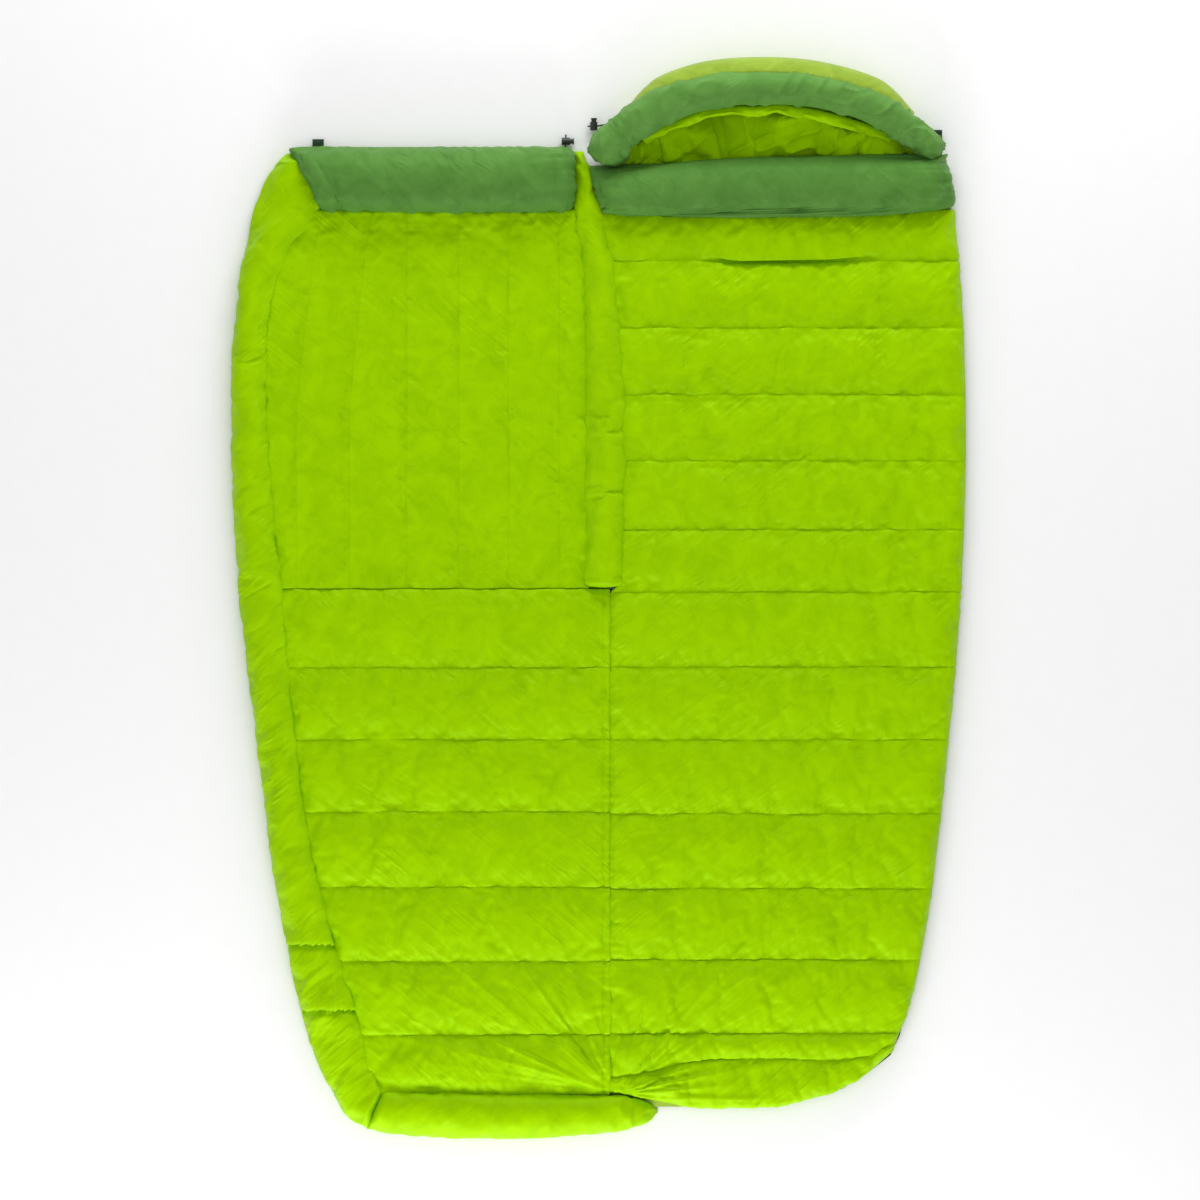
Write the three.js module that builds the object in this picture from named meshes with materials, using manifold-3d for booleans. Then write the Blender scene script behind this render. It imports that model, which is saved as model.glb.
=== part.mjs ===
// A hooded, down-filled camp quilt, opened flat with its lining up.
// Millimetres. +Y points to the hood, +Z up; the origin is on the ground under the quilt's middle.
// The back panel and the hood stay put; the front panel folds over them about the centre seam.

import * as THREE from "three";
import { mergeVertices } from "three/addons/utils/BufferGeometryUtils.js";
import Module from "manifold-3d";

const wasm = await Module();
wasm.setup();

// ---- Driving dimensions ----

const SKIN = 0.8; // a layer of fabric, drawn thicker than it is
const GAP = 0.4; // between pieces that lie against each other
const LOFT = 38; // crest of a filled chamber above the ground
const SEAM_HEIGHT = 16; // height of the mesh walls between chambers
const RIM_RISE = 8; // underside of the back panel's rim, over its zip tape
const COLLAR_LOFT = 68;
const TUBE_LOFT = 44; // crest of a draft tube
const ZIP_ARCH = 20; // clear height under a draft tube, for the slider and its pull
const WALL = SKIN / 2; // thickness of the mesh walls
const WALL_TOP = SEAM_HEIGHT - GAP;
const EDGE_WALL_TOP = WALL_TOP - 0.3;
const WALL_REACH = 1.2; // how far a wall runs past its chambers' ends, through the wall it is sewn to

const CENTRE_SEAM_X = 33; // the sewn seam below the short zip, about which the front panel folds
const EDGE_INSET = 1.5; // from a panel's line in to the edge of its cloth
const CHEST_BOTTOM = 22; // where the upright chest chambers end and the leg chambers begin
const CHEST_TOP = 749;
const FRONT_TOP = 868;
const BACK_TOP = 861;
const FOOT_Y = -948; // lower edge of the front leg chambers

const ZIP_TOP = new THREE.Vector2(-22, 752); // the short zip's two ends
const ZIP_BOTTOM = new THREE.Vector2(22, 42);
const TAPE_Z = 1.5;
const TAPE_THICKNESS = 0.8;
const COIL_TOP = 4.3;
const COIL_WIDTH = 2.5;
const COIL_APART = 0.8; // half of the room that a slider's post needs

const ARC_RADIUS = 2750; // the long zip's curve down the front panel's outer edge
const ARC_CENTRE = new THREE.Vector2(2076, 232);
const ARC_TOP = 762;
const ARC_BOTTOM = -320;
const SIDE_SLIDER_Y = 738;

const CORD_RADIUS = 1.6;
const CHANNEL_RADIUS = 3.2;

const BACK_SEAMS = [-836, -694, -557, -413, -270, -129, 15, 135, 268, 396, 525, 654, 733];
const LEG_SEAMS = [FOOT_Y, -839, -697, -554, -409, -270, -131, CHEST_BOTTOM];

const COLOURS = {
  lining: 0x96cc00,
  shell: 0x9fc142,
  collar: 0x558437,
  ring: 0x5f8f41,
  down: 0xf2efe6,
  mesh: 0xdfe3da,
  tape: 0x3d6a2c,
  metal: 0x8d9096,
  cord: 0x14361c,
  plastic: 0x1d2420,
};

// ---- Edges ----

// A smooth edge line: gives x for a y (or the other way round) from a few places on it.
function edge(places) {
  const sorted = [...places].sort((a, b) => a[0] - b[0]);
  const line = new THREE.CubicInterpolant(
    Float64Array.from(sorted, (p) => p[0]),
    Float64Array.from(sorted, (p) => p[1]),
    1,
  );
  return (at) => line.evaluate(at)[0];
}

const lerp = THREE.MathUtils.lerp;
const clamp01 = (value) => THREE.MathUtils.clamp(value, 0, 1);

const arcX = (y) => ARC_CENTRE.x - Math.sqrt(ARC_RADIUS ** 2 - (y - ARC_CENTRE.y) ** 2);
const zipX = (y) => lerp(ZIP_BOTTOM.x, ZIP_TOP.x, (y - ZIP_BOTTOM.y) / (ZIP_TOP.y - ZIP_BOTTOM.y));

// Front panel: the quilted field's outer edge, which the side draft tube starts from.
const fieldEdge = edge([
  [FOOT_Y, -374], [-925, -414], [-890, -441], [-828, -456], [-695, -502], [-477, -553], [-270, -584],
  [-27, -607], [179, -630], [386, -641], [546, -634], [648, -611], [700, -590], [768, -566], [870, -592],
]);
// The short zip's draft tube: its two edges.
const tubeLeft = edge([
  [20, -25], [400, -25], [521, -27], [600, -30], [695, -38], [753, -49], [866, -48],
]);
const tubeRight = edge([
  [20, 50], [386, 50], [450, 47], [521, 41], [600, 33], [695, 20], [753, 3], [791, -9], [866, -39],
]);
// Back panel: its outer edge, and its two lowest lines across.
const backEdge = edge([
  [-984, 548], [-926, 555], [-880, 565], [-849, 580], [-656, 627], [-270, 674], [0, 697], [347, 708],
  [560, 701], [749, 684], [862, 666],
]);
const backBottom = edge([[0, -951], [0.2, -974], [0.45, -984], [0.75, -965], [0.9, -928], [1, -880]]);
const footSeam = edge([
  [0, -922], [0.06, -921], [0.14, -902], [0.22, -889], [0.45, -882], [0.68, -886], [0.89, -888], [1, -862],
]);

// ---- Solids ----

// Any closed geometry, with one vertex for each corner and its faces pointing out.
function closed(geometry) {
  geometry.deleteAttribute("normal");
  geometry.deleteAttribute("uv");
  const merged = mergeVertices(geometry, 1e-4);
  const index = merged.index.array;
  const corner = [0, 1, 2].map(() => new THREE.Vector3());
  let volume = 0;
  for (let i = 0; i < index.length; i += 3) {
    corner.forEach((c, k) => c.fromBufferAttribute(merged.attributes.position, index[i + k]));
    volume += corner[0].dot(corner[1].cross(corner[2]));
  }
  if (volume < 0) {
    for (let i = 0; i < index.length; i += 3) {
      [index[i], index[i + 1]] = [index[i + 1], index[i]];
    }
  }
  return merged;
}

// A soft slab: a box with its own grid, each corner moved to place(u, v, isTop).
function slab(uStops, vStops, place) {
  const [across, along] = [uStops.length - 1, vStops.length - 1];
  const geometry = new THREE.BoxGeometry(1, 1, 1, across, along, 1);
  const position = geometry.attributes.position;
  for (let i = 0; i < position.count; i += 1) {
    const u = uStops[Math.round((position.getX(i) + 0.5) * across)];
    const v = vStops[Math.round((position.getY(i) + 0.5) * along)];
    position.setXYZ(i, ...place(u, v, position.getZ(i) > 0));
  }
  matchDiagonals(geometry);
  return closed(geometry);
}

// Splits a box's under face along the same diagonals as its top, so that skins lie evenly.
function matchDiagonals(geometry) {
  const under = geometry.groups[5];
  const index = geometry.index.array;
  for (let i = under.start; i < under.start + under.count; i += 6) {
    const [a, b, d, c] = [index[i], index[i + 1], index[i + 2], index[i + 4]];
    index.set([a, b, c, a, c, d], i);
  }
}

// A round bar along a curve, whose radius may change on the way.
function sweep(curve, steps, sides, radiusAt) {
  const geometry = new THREE.CylinderGeometry(1, 1, 1, sides, steps);
  const position = geometry.attributes.position;
  const up = new THREE.Vector3(0, 0, 1);
  for (let i = 0; i < position.count; i += 1) {
    const t = clamp01(position.getY(i) + 0.5);
    const side = curve.getTangentAt(t).cross(up).normalize();
    const raised = side.clone().cross(curve.getTangentAt(t)).normalize();
    const point = curve.getPointAt(t);
    point.addScaledVector(side, position.getX(i) * radiusAt(t));
    point.addScaledVector(raised, position.getZ(i) * radiusAt(t));
    position.setXYZ(i, point.x, point.y, point.z);
  }
  return closed(geometry);
}

function toManifold(geometry) {
  return new wasm.Manifold(
    new wasm.Mesh({
      numProp: 3,
      vertProperties: Float32Array.from(geometry.attributes.position.array),
      triVerts: Uint32Array.from(geometry.index.array),
    }),
  );
}

function fromManifold(body) {
  const mesh = body.getMesh();
  const geometry = new THREE.BufferGeometry();
  geometry.setAttribute("position", new THREE.BufferAttribute(mesh.vertProperties, 3));
  geometry.setIndex(new THREE.BufferAttribute(mesh.triVerts, 1));
  return geometry;
}

const solid = (geometry) => toManifold(closed(geometry));
const cut = (body, ...tools) =>
  fromManifold(tools.reduce((left, tool) => left.subtract(solid(tool)), solid(body)));
const join = (body, ...others) =>
  fromManifold(others.reduce((whole, other) => whole.add(solid(other)), solid(body)));

const quilt = new THREE.Group();

function add(name, geometry, colour, { roughness = 0.75, metalness = 0, parent = quilt } = {}) {
  const material = new THREE.MeshStandardMaterial({ color: COLOURS[colour], roughness, metalness });
  const mesh = new THREE.Mesh(geometry, material);
  mesh.name = name;
  parent.add(mesh);
}

// ---- Quilted panels ----

// How far a chamber has swollen at t, across it or along it, from 0 at a seam to 1 at the crest.
const swell = (t) => Math.sin(Math.PI * clamp01(t)) ** 0.6;
const chamberTop = (across, along) =>
  SEAM_HEIGHT + (LOFT - SEAM_HEIGHT) * swell(across) * swell(along) ** 0.5;

const FRONT_STOPS = [0, 0.06, 0.5, 0.94, 1]; // stops along a chamber of the front panel
const BACK_STOPS = [0, 0.06, 0.3, 0.6, 0.84, 0.94, 1]; // and of the back panel
const ACROSS = [0, 0.25, 0.75, 1]; // stops across a chamber

// Stops for count chambers side by side: the whole part is the chamber, the rest the place in it.
function chamberStops(count) {
  const stops = [0];
  for (let i = 0; i < count; i += 1) {
    stops.push(...ACROSS.slice(1).map((t) => i + t));
  }
  return stops;
}

function chamberWidth(at, chamber, along) {
  const [near, far] = [at(chamber, 0, along), at(chamber, 1, along)];
  return Math.hypot(far[0] - near[0], far[1] - near[1]);
}

// Where a stop falls: its chamber and the place across it.
function inChamber(stop, count) {
  const chamber = Math.min(Math.floor(stop), count - 1);
  return [chamber, stop - chamber];
}

// One quilted panel: at(chamber, across, along) gives x and y, under(chamber, across, along) how far
// the underside is lifted. Adds the filled chambers, the mesh walls and the lining skin.
function quilted(name, count, { at, under, stops: alongStops, upright }) {
  const order = (u, v) => (upright ? [u, v] : [v, u]);
  const stops = chamberStops(count);
  const grid = upright ? [stops, alongStops] : [alongStops, stops];
  const fillGrid = upright ? [ACROSS, alongStops] : [alongStops, ACROSS];
  for (let chamber = 0; chamber < count; chamber += 1) {
    const fill = slab(...fillGrid, (u, v, top) => {
      const [across, along] = order(u, v);
      const inset = (WALL / 2 + GAP) / chamberWidth(at, chamber, along);
      const [x, y] = at(chamber, THREE.MathUtils.clamp(across, inset, 1 - inset), along);
      const low = under(chamber, across, along) + SKIN + GAP;
      return [x, y, top ? chamberTop(across, along) : low];
    });
    add(`${name}_fill_${chamber + 1}`, fill, "down");
  }
  const lining = slab(...grid, (u, v, top) => {
    const [stop, along] = order(u, v);
    const [chamber, across] = inChamber(stop, count);
    const [x, y] = at(chamber, across, along);
    return [x, y, chamberTop(across, along) + GAP + (top ? SKIN : 0)];
  });
  add(`${name}_lining`, lining, "lining");
}

// The thin mesh walls that stand on the seams between a panel's chambers.
function walls(count, { at, under, stops, upright }) {
  return Array.from({ length: count - 1 }, (_, i) => i + 1).map((chamber) =>
    slab([-0.5, 0.5], stops, (u, v, top) => {
      const [x, y] = at(chamber, (u * WALL) / chamberWidth(at, chamber, v), v);
      const reach = v === 0 ? WALL_REACH : 0;
      const z = top ? WALL_TOP : under(chamber, 0, v) + SKIN + GAP;
      return upright ? [x, y - reach, z] : [x - reach, y, z];
    }),
  );
}

// The wall along a panel's edge, which the others are sewn to.
function edgeWall(count, { at }) {
  return slab([-0.9, -0.9 + WALL], chamberStops(count), (beside, stop, top) => {
    const [chamber, across] = inChamber(stop, count);
    const [x, y] = at(chamber, across, 0);
    return [x + beside, y, top ? EDGE_WALL_TOP : RIM_RISE + SKIN + GAP];
  });
}

// Chest: seven upright chambers; the two outermost seams lean in at the top.
const chestLean = (y) => clamp01((y - 470) / 280) ** 1.5;
const CHEST_SEAMS = [
  (y) => fieldEdge(y) + EDGE_INSET,
  (y) => -584 + 50 * chestLean(y),
  (y) => -481 + 45 * chestLean(y),
  () => -371,
  () => -271,
  () => -175,
  () => -77,
  (y) => tubeLeft(y) - EDGE_INSET,
];
const CHEST_COUNT = CHEST_SEAMS.length - 1;
const flat = () => 0;

function chestAt(chamber, across, along) {
  const y = lerp(CHEST_BOTTOM + EDGE_INSET, CHEST_TOP, along);
  return [lerp(CHEST_SEAMS[chamber](y), CHEST_SEAMS[chamber + 1](y), across), y];
}

// Legs: seven chambers across, from the foot up.
const LEG_COUNT = LEG_SEAMS.length - 1;

function legAt(chamber, across, along) {
  const y = lerp(LEG_SEAMS[chamber], LEG_SEAMS[chamber + 1], across);
  return [lerp(fieldEdge(y) + EDGE_INSET, CENTRE_SEAM_X - EDGE_INSET, along), y];
}

// Back: fourteen chambers across. The two at the foot follow its curved lower edge.
const BACK_COUNT = BACK_SEAMS.length + 1;
const RIM_START = BACK_STOPS.at(-2);

function backLine(line, along) {
  if (line === 0) return backBottom(along);
  return line === 1 ? footSeam(along) : BACK_SEAMS[line - 2];
}

// The inner edge steps aside from the sewn seam to the short zip above it, between two heights.
const STEP_ASIDE = [-21, 15];
const backInnerEdge = (y) =>
  EDGE_INSET + lerp(CENTRE_SEAM_X, tubeRight(y), clamp01(THREE.MathUtils.inverseLerp(...STEP_ASIDE, y)));

function backAt(chamber, across, along) {
  const y = lerp(backLine(chamber, along), backLine(chamber + 1, along), across);
  return [lerp(backInnerEdge(y), backEdge(y), along), y];
}

function backUnder(chamber, across, along) {
  const atSide = clamp01((along - RIM_START) / (1 - RIM_START));
  const atFoot = chamber === 0 ? 1 - across : 0;
  return RIM_RISE * Math.max(atSide, atFoot);
}

const chest = { at: chestAt, under: flat, stops: FRONT_STOPS, upright: true };
const leg = { at: legAt, under: flat, stops: FRONT_STOPS, upright: false };
const back = { at: backAt, under: backUnder, stops: BACK_STOPS, upright: false };
quilted("chest", CHEST_COUNT, chest);
quilted("leg", LEG_COUNT, leg);
quilted("back", BACK_COUNT, back);

// The wall between the chest and the legs also ties the upright walls to the ones across.
const waistWall = slab([0, 1], [0, 1], (u, v, top) => {
  const y = CHEST_BOTTOM + lerp(0.5, 0.5 + WALL, v);
  const x = u === 0 ? fieldEdge(y) + 0.6 : tubeLeft(y) - 3;
  return [x, y, top ? EDGE_WALL_TOP : SKIN + GAP];
});
const upToWaist = slab([-0.9, -0.9 + WALL], [CHEST_BOTTOM - 0.2, CHEST_BOTTOM + 0.8], (beside, y, top) => [
  fieldEdge(y) + EDGE_INSET + beside, y, top ? EDGE_WALL_TOP - 0.3 : RIM_RISE + SKIN + GAP + 0.3,
]);
const frontWalls = [...walls(CHEST_COUNT, chest), ...walls(LEG_COUNT, leg)];
add("front_baffles", join(edgeWall(LEG_COUNT, leg), upToWaist, waistWall, ...frontWalls), "mesh");
add("back_baffles", join(edgeWall(BACK_COUNT, back), ...walls(BACK_COUNT, back)), "mesh");

const FRONT_SHELL_STOPS = [
  FOOT_Y, -910, -870, -828, -695, -477, -270, -27, 20, 24, 179, 386, 546, 648, 700, 768, FRONT_TOP,
];
add(
  "front_shell",
  slab([0, 0.25, 0.5, 0.75, 1], FRONT_SHELL_STOPS, (u, y, top) => {
    const right = (y < CHEST_BOTTOM ? CENTRE_SEAM_X : tubeLeft(y)) - EDGE_INSET;
    return [lerp(fieldEdge(y) + EDGE_INSET, right, u), y, top ? SKIN : 0];
  }),
  "shell",
);

const COLLAR_START = BACK_COUNT + 0.5; // two more stops, under the collar
const backShellStops = [...chamberStops(BACK_COUNT), COLLAR_START, BACK_COUNT + 1];
add(
  "back_shell",
  slab(BACK_STOPS, backShellStops, (along, stop, top) => {
    if (stop > BACK_COUNT) {
      const y = stop === COLLAR_START ? CHEST_TOP - 12 : BACK_TOP;
      return [lerp(backInnerEdge(y), backEdge(y), along), y, top ? SKIN : 0];
    }
    const [chamber, across] = inChamber(stop, BACK_COUNT);
    const [x, y] = backAt(chamber, across, along);
    return [x, y, backUnder(chamber, across, along) + (top ? SKIN : 0)];
  }),
  "shell",
);

// ---- Collars ----

const COLLAR_SECTION = { stops: [0, 0.12, 0.35, 0.65, 0.88, 1], height: [0.18, 0.62, 0.98, 1, 0.66, 0.2] };

function collar(bottomAt, topAt, leftAt, rightAt) {
  return slab([0, 0.04, 0.15, 0.5, 0.85, 0.96, 1], COLLAR_SECTION.stops, (u, v, top) => {
    const round = 0.45 + 0.55 * swell(u) ** 0.6;
    const height = COLLAR_SECTION.height[COLLAR_SECTION.stops.indexOf(v)];
    const y = lerp(bottomAt(u), topAt(u), v);
    const z = top ? SKIN + GAP + (COLLAR_LOFT - SKIN - GAP) * height * round : SKIN + GAP;
    return [lerp(leftAt(v), rightAt(v), u), y, z];
  });
}

const frontCollar = collar(
  () => CHEST_TOP + 3.5,
  () => FRONT_TOP + 4,
  (v) => lerp(-527, -590, v),
  () => -55,
);
const neckCollar = collar(
  (u) => lerp(739, 752, u),
  (u) => lerp(840, 856, u),
  (v) => lerp(14, -15, v),
  (v) => lerp(680, 664, v),
);
add("neck_collar", neckCollar, "collar");

// ---- Draft tubes ----

// A tube between two rows of places, outer and inner, hollow beneath where the zip runs.
function draftTube(rows, section) {
  return slab(section.stops, rows.map((_, i) => i), (u, row, top) => {
    const [outer, inner] = rows[row];
    const k = section.stops.indexOf(u);
    return [lerp(outer[0], inner[0], u), lerp(outer[1], inner[1], u), (top ? section.high : section.low)[k]];
  });
}

const SIDE_SECTION = {
  stops: [0, 0.12, 0.26, 0.34, 0.5, 0.7, 0.86, 1],
  low: [3, 1, 1, ZIP_ARCH, ZIP_ARCH, ZIP_ARCH, 8.5, 8.5],
  high: [8, 25, 35, 39, TUBE_LOFT, 41, 29, 14],
};
const CENTRE_SECTION = {
  stops: [0, 0.14, 0.38, 0.62, 0.86, 1],
  low: [8, ZIP_ARCH, ZIP_ARCH, ZIP_ARCH, ZIP_ARCH, 8],
  high: [15, 36, TUBE_LOFT + 2, TUBE_LOFT + 2, 36, 15],
};

// Rows from the corner of the foot up to the collar: [outer edge, inner edge].
const besideField = (y) => [fieldEdge(y) - 2, y];
const sideRows = [
  [[-446, -1021], [-418, -957]],
  [[-482, -997], [-428, -935]],
  [[-515, -945], [-445, -895]],
  [[-553, -860], besideField(-835)],
  [[-590, -730], besideField(-725)],
  [[-609, -635], besideField(-628)],
  [[-627, -540], besideField(-530)],
  [[-655, -320], besideField(-318)],
  [[-674, -170], besideField(-170)],
  [[-693, 0], besideField(0)],
  [[-705, 150], besideField(150)],
  [[-710, 309], besideField(309)],
  [[-707, 450], besideField(450)],
  [[-697, 579], besideField(576)],
  [[-680, 680], besideField(680)],
  [[-657, 770], besideField(768)],
  [[-637, 815], [-582, 806]],
  [[-603, 862], [-597, 858]],
];
add("side_draft_tube", draftTube(sideRows, SIDE_SECTION), "lining");

const footRows = [
  [[27, -1024], [27, -957]],
  [[-100, -1038], [-100, -954]],
  [[-205, -1042], [-200, -953]],
  [[-300, -1039], [-290, -952]],
  [[-407, -1030], [-374, -951]],
  [[-438, -1023], [-412, -956]],
];
add("foot_draft_tube", draftTube(footRows, SIDE_SECTION), "lining");

const footEndRows = [
  [[113, -990], [113, -981]],
  [[100, -1003], [100, -973]],
  [[72, -1013], [72, -964]],
  [[33, -1023], [33, -957]],
];
add("foot_tube_end", draftTube(footEndRows, SIDE_SECTION), "lining");

const CENTRE_ROWS = [24, 135, 268, 396, 470, 525, 590, 654, 705, 753, 791, 830, 866];
const centreRows = CENTRE_ROWS.map((y) => [[tubeLeft(y), y], [tubeRight(y) - 2, y]]);
add("centre_draft_tube", draftTube(centreRows, CENTRE_SECTION), "lining");

// ---- Zips ----

// A tape between a coil line and the panel's edge; the coil stands up along the first.
function zipTape(rows) {
  return slab([0, 1, 2, 3], rows.map((_, i) => i), (stop, row, top) => {
    const coil = new THREE.Vector2(...rows[row][0]);
    const sewn = new THREE.Vector2(...rows[row][1]);
    const inward = sewn.clone().sub(coil).normalize();
    const offset = [0, COIL_WIDTH, COIL_WIDTH + 0.2][stop] ?? coil.distanceTo(sewn);
    const { x, y } = coil.addScaledVector(inward, offset);
    const high = stop < 2 ? COIL_TOP : TAPE_Z + TAPE_THICKNESS;
    return [x, y, top ? high : TAPE_Z];
  });
}

// Moves a place along the ground from one place towards another by a distance.
function towards(from, to, distance) {
  const start = new THREE.Vector2(...from);
  return start.addScaledVector(new THREE.Vector2(...to).sub(start).normalize(), distance).toArray();
}

const centreZipYs = [ZIP_BOTTOM.y - 10, 200, 386, 450, 521, 600, 695, ZIP_TOP.y + 12];
const centreFront = centreZipYs.map((y) => [[zipX(y) - COIL_APART, y], [tubeLeft(y) + 1, y]]);
const centreBack = centreZipYs.map((y) => [[zipX(y) + COIL_APART, y], [tubeRight(y) - 1, y]]);
add("centre_zip_front_tape", zipTape(centreFront), "tape");
add("centre_zip_back_tape", zipTape(centreBack), "tape");

const COIL_FROM_RIM = 36; // from a draft tube's outer edge in to the coil
const arcYs = Array.from({ length: 13 }, (_, i) => lerp(ARC_BOTTOM, ARC_TOP, i / 12));
const innerRow = edge(sideRows.map(([, inner]) => [inner[1], inner[0]]));
const sideTapeRows = [
  ...footRows.slice(0, 5).map(([outer, inner]) => [towards(outer, inner, COIL_FROM_RIM), inner]),
  ...sideRows.slice(0, 7).map(([outer, inner]) => [towards(outer, inner, COIL_FROM_RIM), inner]),
  ...arcYs.map((y) => [[arcX(y) + COIL_APART, y], [innerRow(y) - 1.5, y]]),
];
add("side_zip_front_tape", zipTape(sideTapeRows), "tape");

// The other half of the long zip, tucked under the back panel's rim: places on the rim, then
// the way inward from each.
const rimAt = (along) => {
  const y = backBottom(along);
  return [lerp(backInnerEdge(y), backEdge(y), along), y];
};
const footRim = [0.1, 0.3, 0.6, 0.84].map((along) => [rimAt(along), along > 0.8 ? [-0.3, 0.95] : [0, 1]]);
const SIDE_RIM = [-840, -656, -460, -270, -100, 60, 210, 347, 480, 600, 720];
const sideRim = SIDE_RIM.map((y) => [[backEdge(y), y], [-1, 0]]);
const rimRows = [...footRim, [rimAt(0.94), [-0.77, 0.64]], [rimAt(1), [-0.83, 0.56]], ...sideRim].map(
  ([[x, y], [inX, inY]], i) => {
    const atCorner = i > 3 && i < 6;
    const inward = (distance) => [x + inX * distance, y + inY * distance];
    return [inward(3), inward(atCorner ? 9 : 13)];
  },
);
add("side_zip_back_tape", zipTape(rimRows), "tape");

// A slider: two plates and a post between them, with a bridge on top for its pull.
const SLIDER = { width: 9, length: 12, post: 0.9, baseLow: 0.1, baseHigh: 1.1, topLow: 4.7, topHigh: 5.7 };
const BRIDGE = { width: 2.2, length: 7, bar: 1, leg: 1.2, top: 8.4 };
const PULL = { pinZ: 6.6, pinRadius: 0.6, length: 13, width: 5.4, thickness: 1 };
const PULL_WINDOW = { width: 3.4, end: 4.3, start: -2, height: 3 };

function box(width, depth, height, x, y, z) {
  return new THREE.BoxGeometry(width, depth, height).translate(x, y, z);
}

function sliderBody() {
  const half = SLIDER.width / 2;
  const post = SLIDER.post / 2;
  const profile = new THREE.Shape([
    new THREE.Vector2(-half, SLIDER.baseLow),
    new THREE.Vector2(half, SLIDER.baseLow),
    new THREE.Vector2(half, SLIDER.baseHigh),
    new THREE.Vector2(post, SLIDER.baseHigh),
    new THREE.Vector2(post, SLIDER.topLow),
    new THREE.Vector2(half, SLIDER.topLow),
    new THREE.Vector2(half, SLIDER.topHigh),
    new THREE.Vector2(-half, SLIDER.topHigh),
    new THREE.Vector2(-half, SLIDER.topLow),
    new THREE.Vector2(-post, SLIDER.topLow),
    new THREE.Vector2(-post, SLIDER.baseHigh),
    new THREE.Vector2(-half, SLIDER.baseHigh),
  ]);
  const plates = new THREE.ExtrudeGeometry(profile, { depth: SLIDER.length, bevelEnabled: false });
  plates.rotateX(Math.PI / 2).translate(0, SLIDER.length / 2, 0);
  const legY = (BRIDGE.length - BRIDGE.leg) / 2;
  const legHeight = BRIDGE.top - SLIDER.topHigh + 0.4;
  const leg = (y) => box(BRIDGE.width, BRIDGE.leg, legHeight, 0, y, BRIDGE.top - legHeight / 2);
  const bar = box(BRIDGE.width, BRIDGE.length, BRIDGE.bar, 0, 0, BRIDGE.top - BRIDGE.bar / 2);
  return join(plates, leg(legY), leg(-legY), bar);
}

function pullTab() {
  const half = PULL.width / 2;
  const outline = new THREE.Shape();
  outline.moveTo(-half, -0.5);
  outline.lineTo(half, -0.5);
  outline.lineTo(half, PULL.length - half);
  outline.absarc(0, PULL.length - half, half, 0, Math.PI, false);
  outline.lineTo(-half, -0.5);
  const how = { depth: PULL.thickness, bevelEnabled: false, curveSegments: 6 };
  const plate = new THREE.ExtrudeGeometry(outline, how);
  plate.translate(0, 0, PULL.pinZ - PULL.thickness / 2);
  const { width, end, start, height } = PULL_WINDOW;
  const window = box(width, end - start, height, 0, (end + start) / 2, PULL.pinZ);
  const pin = new THREE.CylinderGeometry(PULL.pinRadius, PULL.pinRadius, PULL.width - 0.4, 8);
  pin.rotateZ(Math.PI / 2).translate(0, 0, PULL.pinZ);
  return fromManifold(solid(plate).subtract(solid(window)).add(solid(pin)));
}

function zipSlider(name, x, y, turn) {
  const place = new THREE.Group();
  place.position.set(x, y, 0);
  place.rotation.z = turn;
  quilt.add(place);
  add(`${name}_slider`, sliderBody(), "metal", { roughness: 0.35, metalness: 0.9, parent: place });
  add(`${name}_pull`, pullTab(), "metal", { roughness: 0.35, metalness: 0.9, parent: place });
}

const CENTRE_SLIDER_Y = ZIP_TOP.y - 12;
const centreTurn = Math.atan2(ZIP_BOTTOM.x - ZIP_TOP.x, ZIP_TOP.y - ZIP_BOTTOM.y);
const sideTurn = -Math.asin((SIDE_SLIDER_Y - ARC_CENTRE.y) / ARC_RADIUS);
zipSlider("centre", zipX(CENTRE_SLIDER_Y), CENTRE_SLIDER_Y, centreTurn);
zipSlider("side", arcX(SIDE_SLIDER_Y), SIDE_SLIDER_Y, sideTurn);

// ---- Hood ----

// The padded ring round the face: its middle line from the left end to the right one.
const ringPlaces = [
  [24, 876], [62, 912], [114, 946], [191, 977], [307, 990], [442, 977], [538, 944], [600, 903], [628, 884],
];
const RING_LOW = 37.5; // the ring's middle line above the ground, at its ends
const RING_RISE = 44; // and how much higher it is over the face
const ringRise = (t) => Math.sin(Math.PI * t) ** 0.7;
const ringFlat = new THREE.CatmullRomCurve3(ringPlaces.map(([x, y]) => new THREE.Vector3(x, y, 0)));
const ringCurve = new THREE.CatmullRomCurve3(
  Array.from({ length: 17 }, (_, i) => {
    const t = i / 16;
    const point = ringFlat.getPointAt(t);
    return point.setZ(RING_LOW + RING_RISE * ringRise(t));
  }),
);
const RING_RADIUS = edge([[0, 36], [0.15, 36], [0.5, 33.5], [0.85, 31], [1, 24]]);
const RING_END = 24; // how far the cord's channel stops short of the ring's right end

const hoodLock = new THREE.Vector3(-10, 914, 9);
const collarLock = new THREE.Vector3(-64, 885, 9);

const CORD_LEAVES = 0.13; // the part of the ring at its left end that the cord doesn't run through

function hoodCordPath() {
  const start = 1 - RING_END / ringCurve.getLength();
  const inRing = Array.from({ length: 14 }, (_, i) => ringCurve.getPointAt(lerp(start, CORD_LEAVES, i / 13)));
  const out = [
    [36, 917, 42], [12, 917, 20], [1, 914.4, 10], [-5, 914, 9], hoodLock.toArray(), [-22, 914, 8.6],
  ];
  return [...inRing, ...out.map((p) => new THREE.Vector3(...p))];
}

function collarCordPath() {
  return [
    [-560, 858, 15], [-480, 852, 20], [-300, 850, 24], [-150, 852, 22], [-96, 856, 14],
    [-70, 865, 9.6], [-64.2, 876, 9], [-64, 885, 9], [-64, 898, 8.6],
  ].map((p) => new THREE.Vector3(...p));
}

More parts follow.
